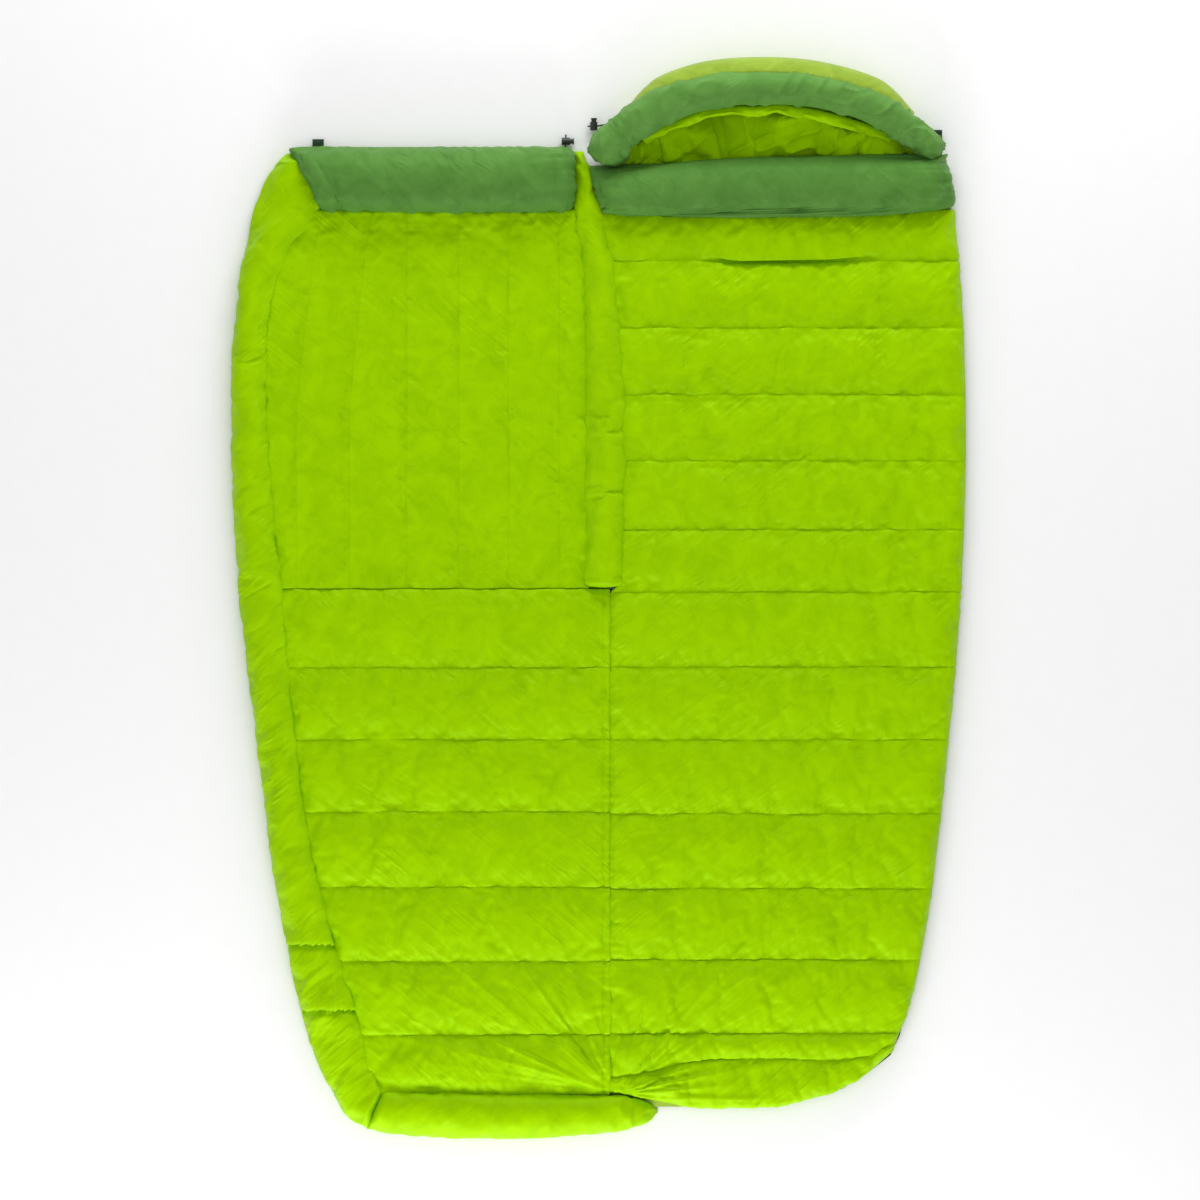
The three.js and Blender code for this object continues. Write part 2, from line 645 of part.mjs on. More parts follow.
const hoodCord = new THREE.CatmullRomCurve3(hoodCordPath());
const collarCord = new THREE.CatmullRomCurve3(collarCordPath());

// A channel that a cord runs in, a little longer than the cord at both ends.
const channel = (path, steps) => sweep(path, steps, 8, () => CHANNEL_RADIUS);

add("hood_ring", cut(sweep(ringCurve, 26, 12, RING_RADIUS), channel(hoodCord, 34)), "ring");
add("front_collar", cut(frontCollar, channel(collarCord, 24)), "collar");

// A cord, with its two cut ends slightly thinner.
const cordAlong = (path, steps) =>
  sweep(path, steps, 8, (t) => (t === 0 || t === 1 ? CORD_RADIUS * 0.9 : CORD_RADIUS));
const trimmed = (path, start) => new THREE.CatmullRomCurve3(
  Array.from({ length: 40 }, (_, i) => path.getPointAt(lerp(start, 1, i / 39))),
);
add("hood_cord", cordAlong(trimmed(hoodCord, 0.004), 40), "cord", { roughness: 0.8 });
add("collar_cord", cordAlong(trimmed(collarCord, 0.006), 24), "cord", { roughness: 0.8 });

// Outer shell of the hood, a wall that stands behind the ring.
const CROWN = {
  stops: [0, 0.2, 0.4, 0.6, 0.8, 1],
  outer: [40, 50, 54, 52, 46, 39],
  inner: [37, 37, 37, 37, 37, 37],
  height: [0.4, 8, 34, 62, 85, 97],
};
const crownPlace = (offset, t) => {
  const point = ringFlat.getPointAt(t);
  const tangent = ringFlat.getTangentAt(t);
  return new THREE.Vector2(point.x - tangent.y * offset, point.y + tangent.x * offset);
};
const alongCrown = Array.from({ length: 17 }, (_, i) => i / 16);
const CROWN_ENDS = [0.045, 0.955]; // where the crown starts and stops along the ring
const CROWN_END_HEIGHT = 0.42; // its height there, as a share of its height in the middle
add(
  "hood_crown",
  slab(alongCrown, CROWN.stops, (t, v, top) => {
    const k = CROWN.stops.indexOf(v);
    const at = lerp(...CROWN_ENDS, t);
    const { x, y } = crownPlace(top ? CROWN.outer[k] : CROWN.inner[k], at);
    return [x, y, CROWN.height[k] * lerp(CROWN_END_HEIGHT, 1, ringRise(at))];
  }),
  "shell",
);

// Padded floor of the hood, under the ring.
const PAD = { loft: 30, rim: 6, under: 0.4 }; // heights of its crest, its rim and its underside
const PAD_ENDS = [0.14, 0.86]; // where it starts and stops along the ring
const FLOOR_OFFSET = 36; // how far the floor reaches beyond the ring's middle line
add(
  "hood_pad",
  slab(alongCrown, [0, 0.12, 0.5, 0.88, 1], (t, v, top) => {
    const at = lerp(...PAD_ENDS, t);
    const far = crownPlace(FLOOR_OFFSET, at);
    const y = lerp(BACK_TOP + 2, far.y, v);
    const underRing = 0.2 + 0.8 * ringRise(at);
    return [far.x, y, top ? PAD.rim + (PAD.loft - PAD.rim) * swell(v) * underRing : PAD.under];
  }),
  "lining",
);

// ---- Cord locks and tabs ----

const LOCK = { radius: 7, length: 16, bore: 5.2, boreDepth: 13, plunger: 4.8, knob: 6, travel: 4, hole: 2.6 };

// A barrel lying along X with a bore for its button, crossed by a hole for the cord.
function lockBody() {
  const barrel = new THREE.CylinderGeometry(LOCK.radius, LOCK.radius, LOCK.length, 16);
  barrel.rotateZ(Math.PI / 2);
  const bore = new THREE.CylinderGeometry(LOCK.bore, LOCK.bore, LOCK.boreDepth + 2, 16);
  bore.rotateZ(Math.PI / 2).translate(LOCK.length / 2 - LOCK.boreDepth / 2 + 1, 0, 0);
  const hole = new THREE.CylinderGeometry(LOCK.hole, LOCK.hole, LOCK.radius * 3, 10);
  return cut(barrel, bore, hole);
}

// The button: a plunger with a slot for the cord, and a knob that stands out of the barrel.
function lockButton() {
  const reach = LOCK.length / 2 + LOCK.travel + 1.5;
  const inner = -LOCK.length / 2 + (LOCK.length - LOCK.boreDepth) + LOCK.travel + 0.5;
  const plunger = new THREE.CylinderGeometry(LOCK.plunger, LOCK.plunger, reach - inner, 16);
  plunger.rotateZ(Math.PI / 2).translate((reach + inner) / 2, 0, 0);
  const knob = new THREE.CylinderGeometry(LOCK.knob, LOCK.knob, 2.5, 16);
  knob.rotateZ(Math.PI / 2).translate(reach + 1, 0, 0);
  const slot = box(LOCK.travel + 2 * LOCK.hole, LOCK.radius * 3, 2 * LOCK.hole, LOCK.travel / 2, 0, 0);
  return fromManifold(solid(plunger).add(solid(knob)).subtract(solid(slot)));
}

function cordLock(name, at, turn) {
  const place = new THREE.Group();
  place.position.copy(at);
  place.rotation.z = turn;
  quilt.add(place);
  add(`${name}_cord_lock`, lockBody(), "plastic", { roughness: 0.5, parent: place });
  add(`${name}_cord_button`, lockButton(), "plastic", { roughness: 0.5, parent: place });
}

cordLock("collar", collarLock, 0);
cordLock("hood", hoodLock, Math.PI / 2); // turned, because its cord comes along X

// A tab of webbing folded over itself, standing out of a seam.
function webbingTab(width, length) {
  const [thick, slot, inner] = [1.2, 1.6, length - 1.2];
  const fold = new THREE.Shape([
    new THREE.Vector2(0, 0),
    new THREE.Vector2(length, 0),
    new THREE.Vector2(length, thick * 2 + slot),
    new THREE.Vector2(0, thick * 2 + slot),
    new THREE.Vector2(0, thick + slot),
    new THREE.Vector2(inner, thick + slot),
    new THREE.Vector2(inner, thick),
    new THREE.Vector2(0, thick),
  ]);
  const geometry = new THREE.ExtrudeGeometry(fold, { depth: width, bevelEnabled: false });
  return closed(geometry.rotateX(Math.PI / 2).rotateZ(Math.PI / 2));
}

const TAB_WIDTH = 22;
add("collar_tab", webbingTab(TAB_WIDTH, 16).translate(-553, FRONT_TOP + 5, 6), "cord");
add("neck_tab", webbingTab(TAB_WIDTH, 18).translate(640, 889, 6), "cord");

export default quilt;
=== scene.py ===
# %% [markdown]
# # A down quilt with a hood, opened flat
# The quilt lies with its lining up. It is a soft thing all over: thin nylon sewn in lines and
# blown up by the down between the lines. So the lesson is about cloth: sheets of fabric that are
# held at their seams, swollen by a cloth simulation, and creased where the thread gathers them.
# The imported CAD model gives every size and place. Its fills, walls and skins are plain solids,
# and the cloth made here stands for them.

# %% Load the frame
import math
import time

import bmesh
import bpy
import numpy as np
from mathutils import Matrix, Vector


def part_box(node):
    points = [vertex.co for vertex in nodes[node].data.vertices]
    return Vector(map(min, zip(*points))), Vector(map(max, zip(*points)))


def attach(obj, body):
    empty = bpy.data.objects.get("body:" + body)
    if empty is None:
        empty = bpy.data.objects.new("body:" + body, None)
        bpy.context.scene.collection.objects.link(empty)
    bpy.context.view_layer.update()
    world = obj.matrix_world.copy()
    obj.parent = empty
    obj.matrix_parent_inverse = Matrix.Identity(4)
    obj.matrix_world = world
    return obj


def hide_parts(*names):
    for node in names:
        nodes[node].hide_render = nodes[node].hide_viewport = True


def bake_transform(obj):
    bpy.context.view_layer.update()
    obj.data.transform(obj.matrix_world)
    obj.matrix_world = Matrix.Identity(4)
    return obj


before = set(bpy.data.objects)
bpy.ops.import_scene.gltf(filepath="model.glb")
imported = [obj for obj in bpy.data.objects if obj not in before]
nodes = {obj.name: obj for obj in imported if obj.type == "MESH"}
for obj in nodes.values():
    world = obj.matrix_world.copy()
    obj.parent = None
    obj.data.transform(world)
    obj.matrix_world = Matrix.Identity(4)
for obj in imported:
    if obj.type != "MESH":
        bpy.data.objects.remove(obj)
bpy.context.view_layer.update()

MM = 0.001
started = time.time()

# %% [markdown]
# ## Camera
# A quilt on the ground is best seen from straight above. A long lens far away keeps the high
# hood from leaning outwards, which a short lens close by would cause. The view is a little wider
# than the quilt is long.

# %% Camera
VIEW_WIDTH = 2.316
CAMERA_HEIGHT = 30.0
SENSOR = 36.0

camera_data = bpy.data.cameras.new("overhead_camera")
camera_data.sensor_width = SENSOR
camera_data.lens = SENSOR * CAMERA_HEIGHT / VIEW_WIDTH
camera_data.clip_end = 100
camera = bpy.data.objects.new("overhead_camera", camera_data)
camera.location = (0.0019, 0, CAMERA_HEIGHT)
bpy.context.scene.collection.objects.link(camera)
bpy.context.scene.camera = camera
print("lens in mm:", round(camera_data.lens))

# %% [markdown]
# ## Floor and light
# Relief on soft white-lit cloth only shows if light comes from the side. One large soft light
# stands beyond the head and one beyond the foot, both low, so each chamber gets a bright flank
# and a dim one. The white world fills the rest. A hard sun would be simpler, but its sharp
# shadows would hide the small gathers.


# %% Floor and lights
def area_light(name, place, target, size, watts):
    data = bpy.data.lights.new(name, "AREA")
    data.shape = "RECTANGLE"
    data.size, data.size_y = size
    data.energy = watts
    light = bpy.data.objects.new(name, data)
    light.location = place
    light.rotation_euler = (Vector(target) - Vector(place)).to_track_quat("-Z", "Y").to_euler()
    bpy.context.scene.collection.objects.link(light)


WORLD_LIGHT = 0.70
world = bpy.data.worlds.new("studio")
world.use_nodes = True
world.node_tree.nodes["Background"].inputs["Color"].default_value = (1, 1, 1, 1)
world.node_tree.nodes["Background"].inputs["Strength"].default_value = WORLD_LIGHT
bpy.context.scene.world = world
bpy.context.scene.view_settings.view_transform = "Standard"

area_light("head_light", (0.4, 3.3, 1.15), (0.1, 0.35, 0), (2.6, 0.9), 64)
area_light("foot_light", (-0.4, -3.3, 1.05), (-0.1, -0.45, 0), (2.6, 0.9), 78)

floor_mesh = bpy.data.meshes.new("studio_floor")
floor_bm = bmesh.new()
bmesh.ops.create_grid(floor_bm, x_segments=1, y_segments=1, size=12)
floor_bm.to_mesh(floor_mesh)
floor_bm.free()
floor = bpy.data.objects.new("studio_floor", floor_mesh)
bpy.context.scene.collection.objects.link(floor)

# %% [markdown]
# ## Finishes
# Every finish is a node tree made by the same small helper, which adds a node, sets it and links
# it. Colours are sRGB hex values, as a dye card would give them, and one function turns them into
# the linear values that Blender works in.


# %% Helpers for finishes
def colour(code):
    """An sRGB hex value as linear RGBA."""
    parts = [int(code[i : i + 2], 16) / 255 for i in (0, 2, 4)]
    linear = [p / 12.92 if p <= 0.04045 else ((p + 0.055) / 1.055) ** 2.4 for p in parts]
    return (*linear, 1.0)


def node(tree, kind, settings=(), values=(), links=()):
    """Adds a node, with what its own settings, its sockets' values and their links are."""
    made = tree.nodes.new(kind)
    for name, value in dict(settings).items():
        setattr(made, name, value)
    for socket, value in dict(values).items():
        made.inputs[socket].default_value = value
    for socket, source in dict(links).items():
        tree.links.new(source, made.inputs[socket])
    return made


def new_finish(name):
    """An empty material with its shader, and the object's own coordinates."""
    material = bpy.data.materials.new(name)
    material.use_nodes = True
    tree = material.node_tree
    place = node(tree, "ShaderNodeTexCoord").outputs["Object"]
    return material, tree, tree.nodes["Principled BSDF"], place


def per_metre(size_mm):
    """The scale of a pattern whose features are this size."""
    return 1000 / size_mm


def wave_scale(apart_mm):
    """The scale of a Wave node whose bands are this far apart. It turns by 20 radians in a unit."""
    return per_metre(apart_mm) * math.tau / 20


def raised(tree, height, strength, depth_mm, **below):
    """The normal of a surface that a height raises, on top of another normal where one is given."""
    values = {"Strength": strength, "Distance": depth_mm * MM}
    return node(tree, "ShaderNodeBump", values=values, links={"Height": height, **below}).outputs["Normal"]


# %% [markdown]
# ### Down-proof nylon
# The fabric is a plain weave of very fine nylon, pressed between hot rollers so that no down
# comes through. The pressing gives it a soft gloss, and thin cloth over clumps of down looks
# cloudy. The threads are 0.1 mm apart, too fine to show, so the weave is drawn at 8.8 mm. Three
# kinds of crease are finer than any mesh used here, so they are drawn as bumps: short crinkles
# everywhere, long drag lines in patches, and gathers at the seams. Four attributes guide them.
# `seam` says how far off the sewn line a place is, `lean` which way its drag lines run, and
# `crease` and `gather` how strong they are. Along the sewn lines the colour is darkened too, as a
# painted shadow of the thread.


# %% Down-proof nylon
WEAVE = 8.8  # all of these are in mm
WEAVE_DEPTH = 0.1
CREASE_DEPTH = 2.3
CRINKLE = 9
CLOUD = 46
PATCH = 150
STREAK = (170, 9)  # length and width of a drag line
GATHER = (30, 6)  # and of a gather at a seam
DRAG = 40  # how steeply the drag lines run, in degrees
CRINKLE_LEAN = 70  # and the crinkles
CRINKLE_SHARE = 0.09  # how high the crinkles are beside a drag line
GATHER_SHARE = 0.6  # and the gathers
# Over this reach from a sewn line the colour is darkened, as a painted shadow of the thread.
PAINTED_SEAM_SHADOW_REACH = 2.6  # how far from the sewn line the cloth looks darker


def streaks(tree, place, degrees, long_mm, wide_mm):
    """Ridges about this long and this far apart that run at an angle to X. A Mapping node of the
    texture kind turns first and stretches then, so that the ridges run the way they point."""
    turn = {"Rotation": (0, 0, math.radians(degrees)), "Scale": (long_mm / wide_mm, 1, 1)}
    turned = node(tree, "ShaderNodeMapping", {"vector_type": "TEXTURE"}, turn, {"Vector": place})
    kind = {"noise_type": "RIDGED_MULTIFRACTAL"}
    size = {"Scale": per_metre(wide_mm), "Detail": 2, "Roughness": 0.5}
    along = {"Vector": turned.outputs["Vector"]}
    return node(tree, "ShaderNodeTexNoise", kind, size, along).outputs["Fac"]


def maths(tree, operation, first, second):
    """A sum on two sockets, or on a socket and a number."""
    made = node(tree, "ShaderNodeMath", {"operation": operation})
    for socket, value in zip(made.inputs, (first, second)):
        if isinstance(value, float):
            socket.default_value = value
        else:
            tree.links.new(value, socket)
    return made.outputs["Value"]


def faded(tree, source, low, high, at_low, at_high):
    """Runs smoothly from one value to another while its source goes from low to high."""
    ends = {"From Min": low, "From Max": high, "To Min": at_low, "To Max": at_high}
    kind = {"interpolation_type": "SMOOTHSTEP"}
    return node(tree, "ShaderNodeMapRange", kind, ends, {"Value": source}).outputs["Result"]


def stored(tree, name):
    """An attribute of the mesh."""
    return node(tree, "ShaderNodeAttribute", {"attribute_name": name}).outputs["Fac"]


def nylon_creases(tree, place, seam):
    """The height of drag lines, gathers and crinkles together, from 0 to about 1."""
    lean = stored(tree, "lean")
    left = maths(tree, "MULTIPLY", streaks(tree, place, -DRAG, *STREAK), maths(tree, "SUBTRACT", 1.0, lean))
    right = maths(tree, "MULTIPLY", streaks(tree, place, DRAG, *STREAK), lean)
    coarse = {"Scale": per_metre(PATCH), "Detail": 1}
    patch = node(tree, "ShaderNodeTexNoise", values=coarse, links={"Vector": place})
    shown = faded(tree, patch.outputs["Fac"], 0.4, 0.62, 0.12, 1.0)
    drag = maths(tree, "MULTIPLY", maths(tree, "ADD", left, right), shown)
    drag = maths(tree, "MULTIPLY", drag, stored(tree, "crease"))
    at_seam = faded(tree, seam, 0.0, GATHER[0] * MM, GATHER_SHARE, 0.0)
    at_seam = maths(tree, "MULTIPLY", at_seam, stored(tree, "gather"))
    gathers = maths(tree, "MULTIPLY", streaks(tree, place, 90, *GATHER), at_seam)
    crinkles = streaks(tree, place, CRINKLE_LEAN, 2.4 * CRINKLE, CRINKLE)
    crinkles = maths(tree, "MULTIPLY", crinkles, CRINKLE_SHARE)
    return maths(tree, "ADD", maths(tree, "ADD", drag, gathers), crinkles)


def nylon(name, base, deep, light, roughness=0.5):
    """Cloudy between two shades, with a painted thread shadow along its sewn lines, a weave and fine
    creases.
    """
    material, tree, shader, place = new_finish(name)
    cloudy = {"Scale": per_metre(CLOUD), "Detail": 4, "Roughness": 0.6, "Distortion": 0.8}
    cloud = node(tree, "ShaderNodeTexNoise", values=cloudy, links={"Vector": place})
    ramp = node(tree, "ShaderNodeValToRGB", links={"Fac": cloud.outputs["Fac"]})
    shades = ramp.color_ramp.elements
    shades[0].position, shades[0].color = 0.3, colour(deep)
    shades[1].position, shades[1].color = 0.72, colour(light)
    shades.new(0.5).color = colour(base)
    seam = stored(tree, "seam")
    # Painted shadow: the colour is darkened in a thin band along each sewn line, as the thread's shadow.
    seam_shadow_inputs = {"Factor": faded(tree, seam, 0.0, PAINTED_SEAM_SHADOW_REACH * MM, 0.16, 0.0), "A": ramp.outputs["Color"]}
    multiply = {"data_type": "RGBA", "blend_type": "MULTIPLY"}
    sewn = node(tree, "ShaderNodeMix", multiply, {"B": (0.5, 0.56, 0.4, 1)}, seam_shadow_inputs)
    tree.links.new(sewn.outputs[2], shader.inputs["Base Color"])

    threads = []
    for direction in "XY":
        fine = {"Scale": wave_scale(WEAVE), "Distortion": 0.4}
        way = {"bands_direction": direction}
        threads.append(node(tree, "ShaderNodeTexWave", way, fine, {"Vector": place}).outputs["Fac"])
    woven = raised(tree, maths(tree, "MULTIPLY", *threads), 0.25, WEAVE_DEPTH)
    creased = raised(tree, nylon_creases(tree, place, seam), 0.9, CREASE_DEPTH, Normal=woven)
    tree.links.new(creased, shader.inputs["Normal"])
    shader.inputs["Roughness"].default_value = roughness
    shader.inputs["Specular IOR Level"].default_value = 0.3
    shader.inputs["Specular Tint"].default_value = colour(light)
    shader.inputs["Sheen Weight"].default_value = 0.05
    shader.inputs["Sheen Tint"].default_value = colour(light)
    return material


lining_nylon = nylon("lime_lining_nylon", "94C600", "8CBE00", "9BCE00")
shell_nylon = nylon("pale_green_shell_nylon", "87A236", "7F9A30", "8FAA3C")
collar_nylon = nylon("deep_green_collar_nylon", "548338", "4D7B33", "5B8A3E", 0.47)
ring_nylon = nylon("mid_green_hood_nylon", "5A893D", "538138", "619043", 0.47)

# %% [markdown]
# ### Tape, cord, plastic and metal
# Small parts are dark, so that grime doesn't show. The tapes and tabs are woven polyester with a
# rib across them, the cords are braided, the locks are moulded acetal with a fine spark-eroded
# grain, and the sliders are die-cast zinc, barrel-plated. All of them are two shades mixed by a
# pattern that also stands up a little, so one function makes them and only the pattern differs.
# Real ribs are 1.5 to 1.8 mm apart. They are drawn six times as far apart, so that they show.


# %% Small finishes
def patterned(name, base, deep, pattern, strength, depth_mm, roughness, metallic=0.0):
    """Two shades mixed by a pattern, given as its node, settings and values, that also raises it."""
    material, tree, shader, place = new_finish(name)
    made = node(tree, *pattern, {"Vector": place}).outputs["Fac"]
    shades = {"A": colour(deep), "B": colour(base)}
    tone = node(tree, "ShaderNodeMix", {"data_type": "RGBA"}, shades, {"Factor": made})
    tree.links.new(tone.outputs[2], shader.inputs["Base Color"])
    tree.links.new(raised(tree, made, strength, depth_mm), shader.inputs["Normal"])
    shader.inputs["Roughness"].default_value = roughness
    shader.inputs["Metallic"].default_value = metallic
    return material


def ribbed(name, base, deep, rib_mm, direction, roughness):
    """Woven or braided polyester: ribs of two shades, raised in the middle."""
    ribs = {"Scale": wave_scale(rib_mm), "Distortion": 1.2, "Detail": 2}
    pattern = ("ShaderNodeTexWave", {"bands_direction": direction}, ribs)
    return patterned(name, base, deep, pattern, 0.6, 0.3, roughness)


def grained(name, base, deep, grain_mm, roughness, metallic=0.0):
    """Moulded plastic or cast metal, with a fine grain of two shades."""
    pattern = ("ShaderNodeTexNoise", {}, {"Scale": per_metre(grain_mm), "Detail": 3})
    return patterned(name, base, deep, pattern, 0.3, 0.1, roughness, metallic)


zip_tape_finish = ribbed("woven_zip_tape", "3F6D2D", "2C5220", 9.4, "Y", 0.75)
webbing_finish = ribbed("woven_dark_webbing", "173D1F", "0B2411", 10, "Y", 0.8)
cord_finish = ribbed("braided_dark_cord", "1C4424", "0A1F0E", 11.3, "DIAGONAL", 0.7)
acetal_finish = grained("moulded_black_acetal", "20261F", "15190F", 0.8, 0.45)
zinc_finish = grained("cast_plated_zinc", "8B9094", "70757A", 1.2, 0.34, metallic=1.0)
floor_finish = grained("matt_white_floor", "F6F6F6", "F3F3F3", 40, 0.9)
floor.data.materials.append(floor_finish)
print("finishes:", len(bpy.data.materials))

# %% [markdown]
# ## Reading places off the frame
# A cloth sheet has to end where the CAD solid ends. Where an upright plane cuts a CAD node, the
# cut has a lowest and a highest place: many such cuts give the node's outline as a smooth line.
# Typing the outline in again would also work, but then it would not follow when the CAD changes.


# %% Cuts through a CAD node
def edges_of(name):
    """Both ends of every edge of a CAD node, as two arrays of points."""
    mesh = nodes[name].data
    points = np.empty(len(mesh.vertices) * 3)
    mesh.vertices.foreach_get("co", points)
    points = points.reshape(-1, 3)
    ends = np.empty(len(mesh.edges) * 2, int)
    mesh.edges.foreach_get("vertices", ends)
    return points[ends[::2]], points[ends[1::2]]


def smoothed(values, reach):
    """A line with its corners rounded, whose ends stay where they are."""
    padded = np.concatenate(
        [2 * values[0] - values[reach:0:-1], values, 2 * values[-1] - values[-2 : -reach - 2 : -1]]
    )
    return np.convolve(padded, np.ones(2 * reach + 1) / (2 * reach + 1), "valid")


def outline(name, axis, samples=72, reach=3):
    """The two sides of a node, as functions of the place along an axis, 0 for X and 1 for Y."""
    first, second = edges_of(name)
    low, high = (corner[axis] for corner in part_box(name))
    margin = 0.2 * MM
    stations = np.linspace(low + margin, high - margin, samples)
    sides = []
    for at in stations:
        before, after = first[:, axis] - at, second[:, axis] - at
        cut = (before * after) <= 0
        share = before[cut] / np.where(before[cut] == after[cut], 1, before[cut] - after[cut])
        there = first[cut, 1 - axis] + share * (second[cut, 1 - axis] - first[cut, 1 - axis])
        sides.append((there.min(), there.max()))
    sides = np.array(sides)
    return [lambda at, k=k: np.interp(at, stations, smoothed(sides[:, k], reach)) for k in (0, 1)]


# %% [markdown]
# ## Noise and creases
# Creases in thin cloth are long sharp ridges with flat cloth between them. Smooth noise crosses
# zero along such lines, so one minus its size, to a power, is a field of ridges. Stretched one
# way it gives drag lines, and faded away from a seam it gives the gathers of a tight thread.
# Sculpting them by hand would not follow the seams, and random numbers would differ each run.


# %% Noise and creases
def cell_value(column, row, seed):
    """A repeatable number from -1 to 1 for a corner of a grid."""
    wild = np.sin(column * 127.1 + row * 311.7 + seed * 74.7) * 43758.5453
    return 2 * (wild - np.floor(wild)) - 1


def noise(x, y, seed=0):
    """Smooth noise from -1 to 1 that changes over a distance of one."""
    column, row = np.floor(x), np.floor(y)
    across, along = x - column, y - row
    across, along = across**2 * (3 - 2 * across), along**2 * (3 - 2 * along)
    low = cell_value(column, row, seed) * (1 - across) + cell_value(column + 1, row, seed) * across
    high = cell_value(column, row + 1, seed) * (1 - across)
    high = high + cell_value(column + 1, row + 1, seed) * across
    return low * (1 - along) + high * along


def creases(x, y, degrees, length_mm, width_mm, seed, sharp=3):
    """Ridges from 0 to 1 that run at an angle to X, about this long and this far apart."""
    turn = math.radians(degrees)
    run = x * math.cos(turn) + y * math.sin(turn)
    side = -x * math.sin(turn) + y * math.cos(turn)
    bent = side + 0.25 * width_mm * MM * noise(run / (length_mm * MM), side * 6, seed + 5)
    field = noise(run / (length_mm * MM), bent / (width_mm * MM), seed)
    return (1 - np.abs(field)) ** sharp


def fan(x, y, centre, spokes, reach_mm, seed, sharp=3):
    """Pleats that spread from a pinched place and fade with the distance."""
    away = np.hypot(x - centre[0], y - centre[1])
    angle = np.arctan2(y - centre[1], x - centre[0])
    field = noise(angle * spokes / 2, away / (reach_mm * MM), seed)
    shown = ease(away / (90 * MM)) * np.exp(-((away / (reach_mm * MM)) ** 2))
    return (1 - np.abs(field)) ** sharp * shown


def ease(t):
    """From 0 to 1, slow at both ends."""
    t = np.clip(t, 0, 1)
    return t * t * (3 - 2 * t)


def near(at, place, reach_mm):
    """1 at a place, fading to 0 over a reach."""
    return np.exp(-(((at - place) / (reach_mm * MM)) ** 2))


# %% [markdown]
# ## Sheets, and how they swell
# Each piece of fabric starts as a grid whose corners are moved into place, so its lines follow
# its seams. The sewn lines are pinned, and Blender's Cloth blows up the rest. The cloth is given
# a few per cent more fabric than its grid has (a negative shrink), and it is this spare fabric
# that gathers against the pinned seams. A plain bulge by a formula would be quicker, but its
# seams would look pressed, not sewn. One subdivision then rounds the mesh.


# %% Sheets of cloth
def points_of(piece):
    points = np.empty(len(piece.data.vertices) * 3)
    piece.data.vertices.foreach_get("co", points)
    return points.reshape(-1, 3)


def move_to(piece, points):
    piece.data.vertices.foreach_set("co", np.asarray(points, np.float32).ravel())
    piece.data.update()


def attribute_of(piece, name):
    values = np.empty(len(piece.data.vertices), np.float32)
    piece.data.attributes[name].data.foreach_get("value", values)
    return values.astype(float)


def keep_attribute(piece, name, values):
    made = piece.data.attributes.get(name) or piece.data.attributes.new(name, "FLOAT", "POINT")
    made.data.foreach_set("value", np.asarray(values, np.float32))


def new_piece(name, bm, finish):
    mesh = bpy.data.meshes.new(name)
    bm.to_mesh(mesh)
    bm.free()
    mesh.materials.append(finish)
    piece = bpy.data.objects.new(name, mesh)
    bpy.context.scene.collection.objects.link(piece)
    return piece


def sheet_of(name, columns, rows, place, finish):
    """A grid moved to place(u, v), which keeps u and v as the attributes across and along."""
    bm = bmesh.new()
    bmesh.ops.create_grid(bm, x_segments=columns, y_segments=rows, size=0.5)
    piece = new_piece(name, bm, finish)
    flat = points_of(piece) + 0.5
    keep_attribute(piece, "across", flat[:, 0])
    keep_attribute(piece, "along", flat[:, 1])
    move_to(piece, place(flat[:, 0], flat[:, 1]))
    return piece


def normals_of(piece):
    normals = np.empty(len(piece.data.vertices) * 3, np.float32)
    piece.data.vertex_normals.foreach_get("vector", normals)
    return normals.reshape(-1, 3).astype(float)


def swell_cloth(piece, pinned, pressure=4.0, spare=0.05, cap_mm=12, frames=20):
    """Blows the piece up between its pinned places, and caps how far a place may go."""
    begin = time.time()
    start = points_of(piece)
    group = piece.vertex_groups.new(name="sewn")
    group.add([int(i) for i in np.nonzero(pinned)[0]], 1, "REPLACE")
    cloth = piece.modifiers.new("cloth", "CLOTH")
    settings = cloth.settings
    settings.quality = 4
    settings.mass = 0.05
    settings.tension_stiffness = settings.compression_stiffness = 15
    settings.shear_stiffness = 4
    settings.bending_stiffness = 0.02
    settings.air_damping = 2
    settings.use_pressure = True
    settings.uniform_pressure_force = pressure
    settings.shrink_min = -spare
    settings.vertex_group_mass = "sewn"
    settings.effector_weights.gravity = 0
    cloth.collision_settings.use_collision = False
    cloth.point_cache.frame_start, cloth.point_cache.frame_end = 1, frames
    for number in range(1, frames + 1):
        bpy.context.scene.frame_set(number)
    seen = piece.evaluated_get(bpy.context.evaluated_depsgraph_get()).to_mesh()
    swollen = np.empty(len(seen.vertices) * 3)
    seen.vertices.foreach_get("co", swollen)
    moved = np.nan_to_num(swollen.reshape(-1, 3) - start)
    length = np.linalg.norm(moved, axis=1)
    cap = cap_mm * MM
    share = np.where(length > 1e-9, cap * np.tanh(length / cap) / np.maximum(length, 1e-9), 1)
    piece.modifiers.remove(cloth)
    piece.vertex_groups.clear()
    bpy.context.scene.frame_set(1)
    move_to(piece, start + moved * share[:, None])
    print(f"{piece.name}: {len(start)} places, most moved {length.max() / MM:.1f} mm,"
          f" {time.time() - begin:.1f} s")


def subdivide(piece):
    """One level of subdivision, made real."""
    modifier = piece.modifiers.new("finer", "SUBSURF")
    modifier.levels = modifier.render_levels = 1
    finer = bpy.data.meshes.new_from_object(piece.evaluated_get(bpy.context.evaluated_depsgraph_get()))
    old = piece.data
    piece.modifiers.clear()
    piece.data = finer
    finer.name = piece.name
    bpy.data.meshes.remove(old)


def raise_by(piece, amount_mm):
    """Moves each place along its normal."""
    move_to(piece, points_of(piece) + normals_of(piece) * (amount_mm * MM)[:, None])


FOLD_ZONE = (-0.025, 0.091)  # where cloth bends about the centre seam, as X


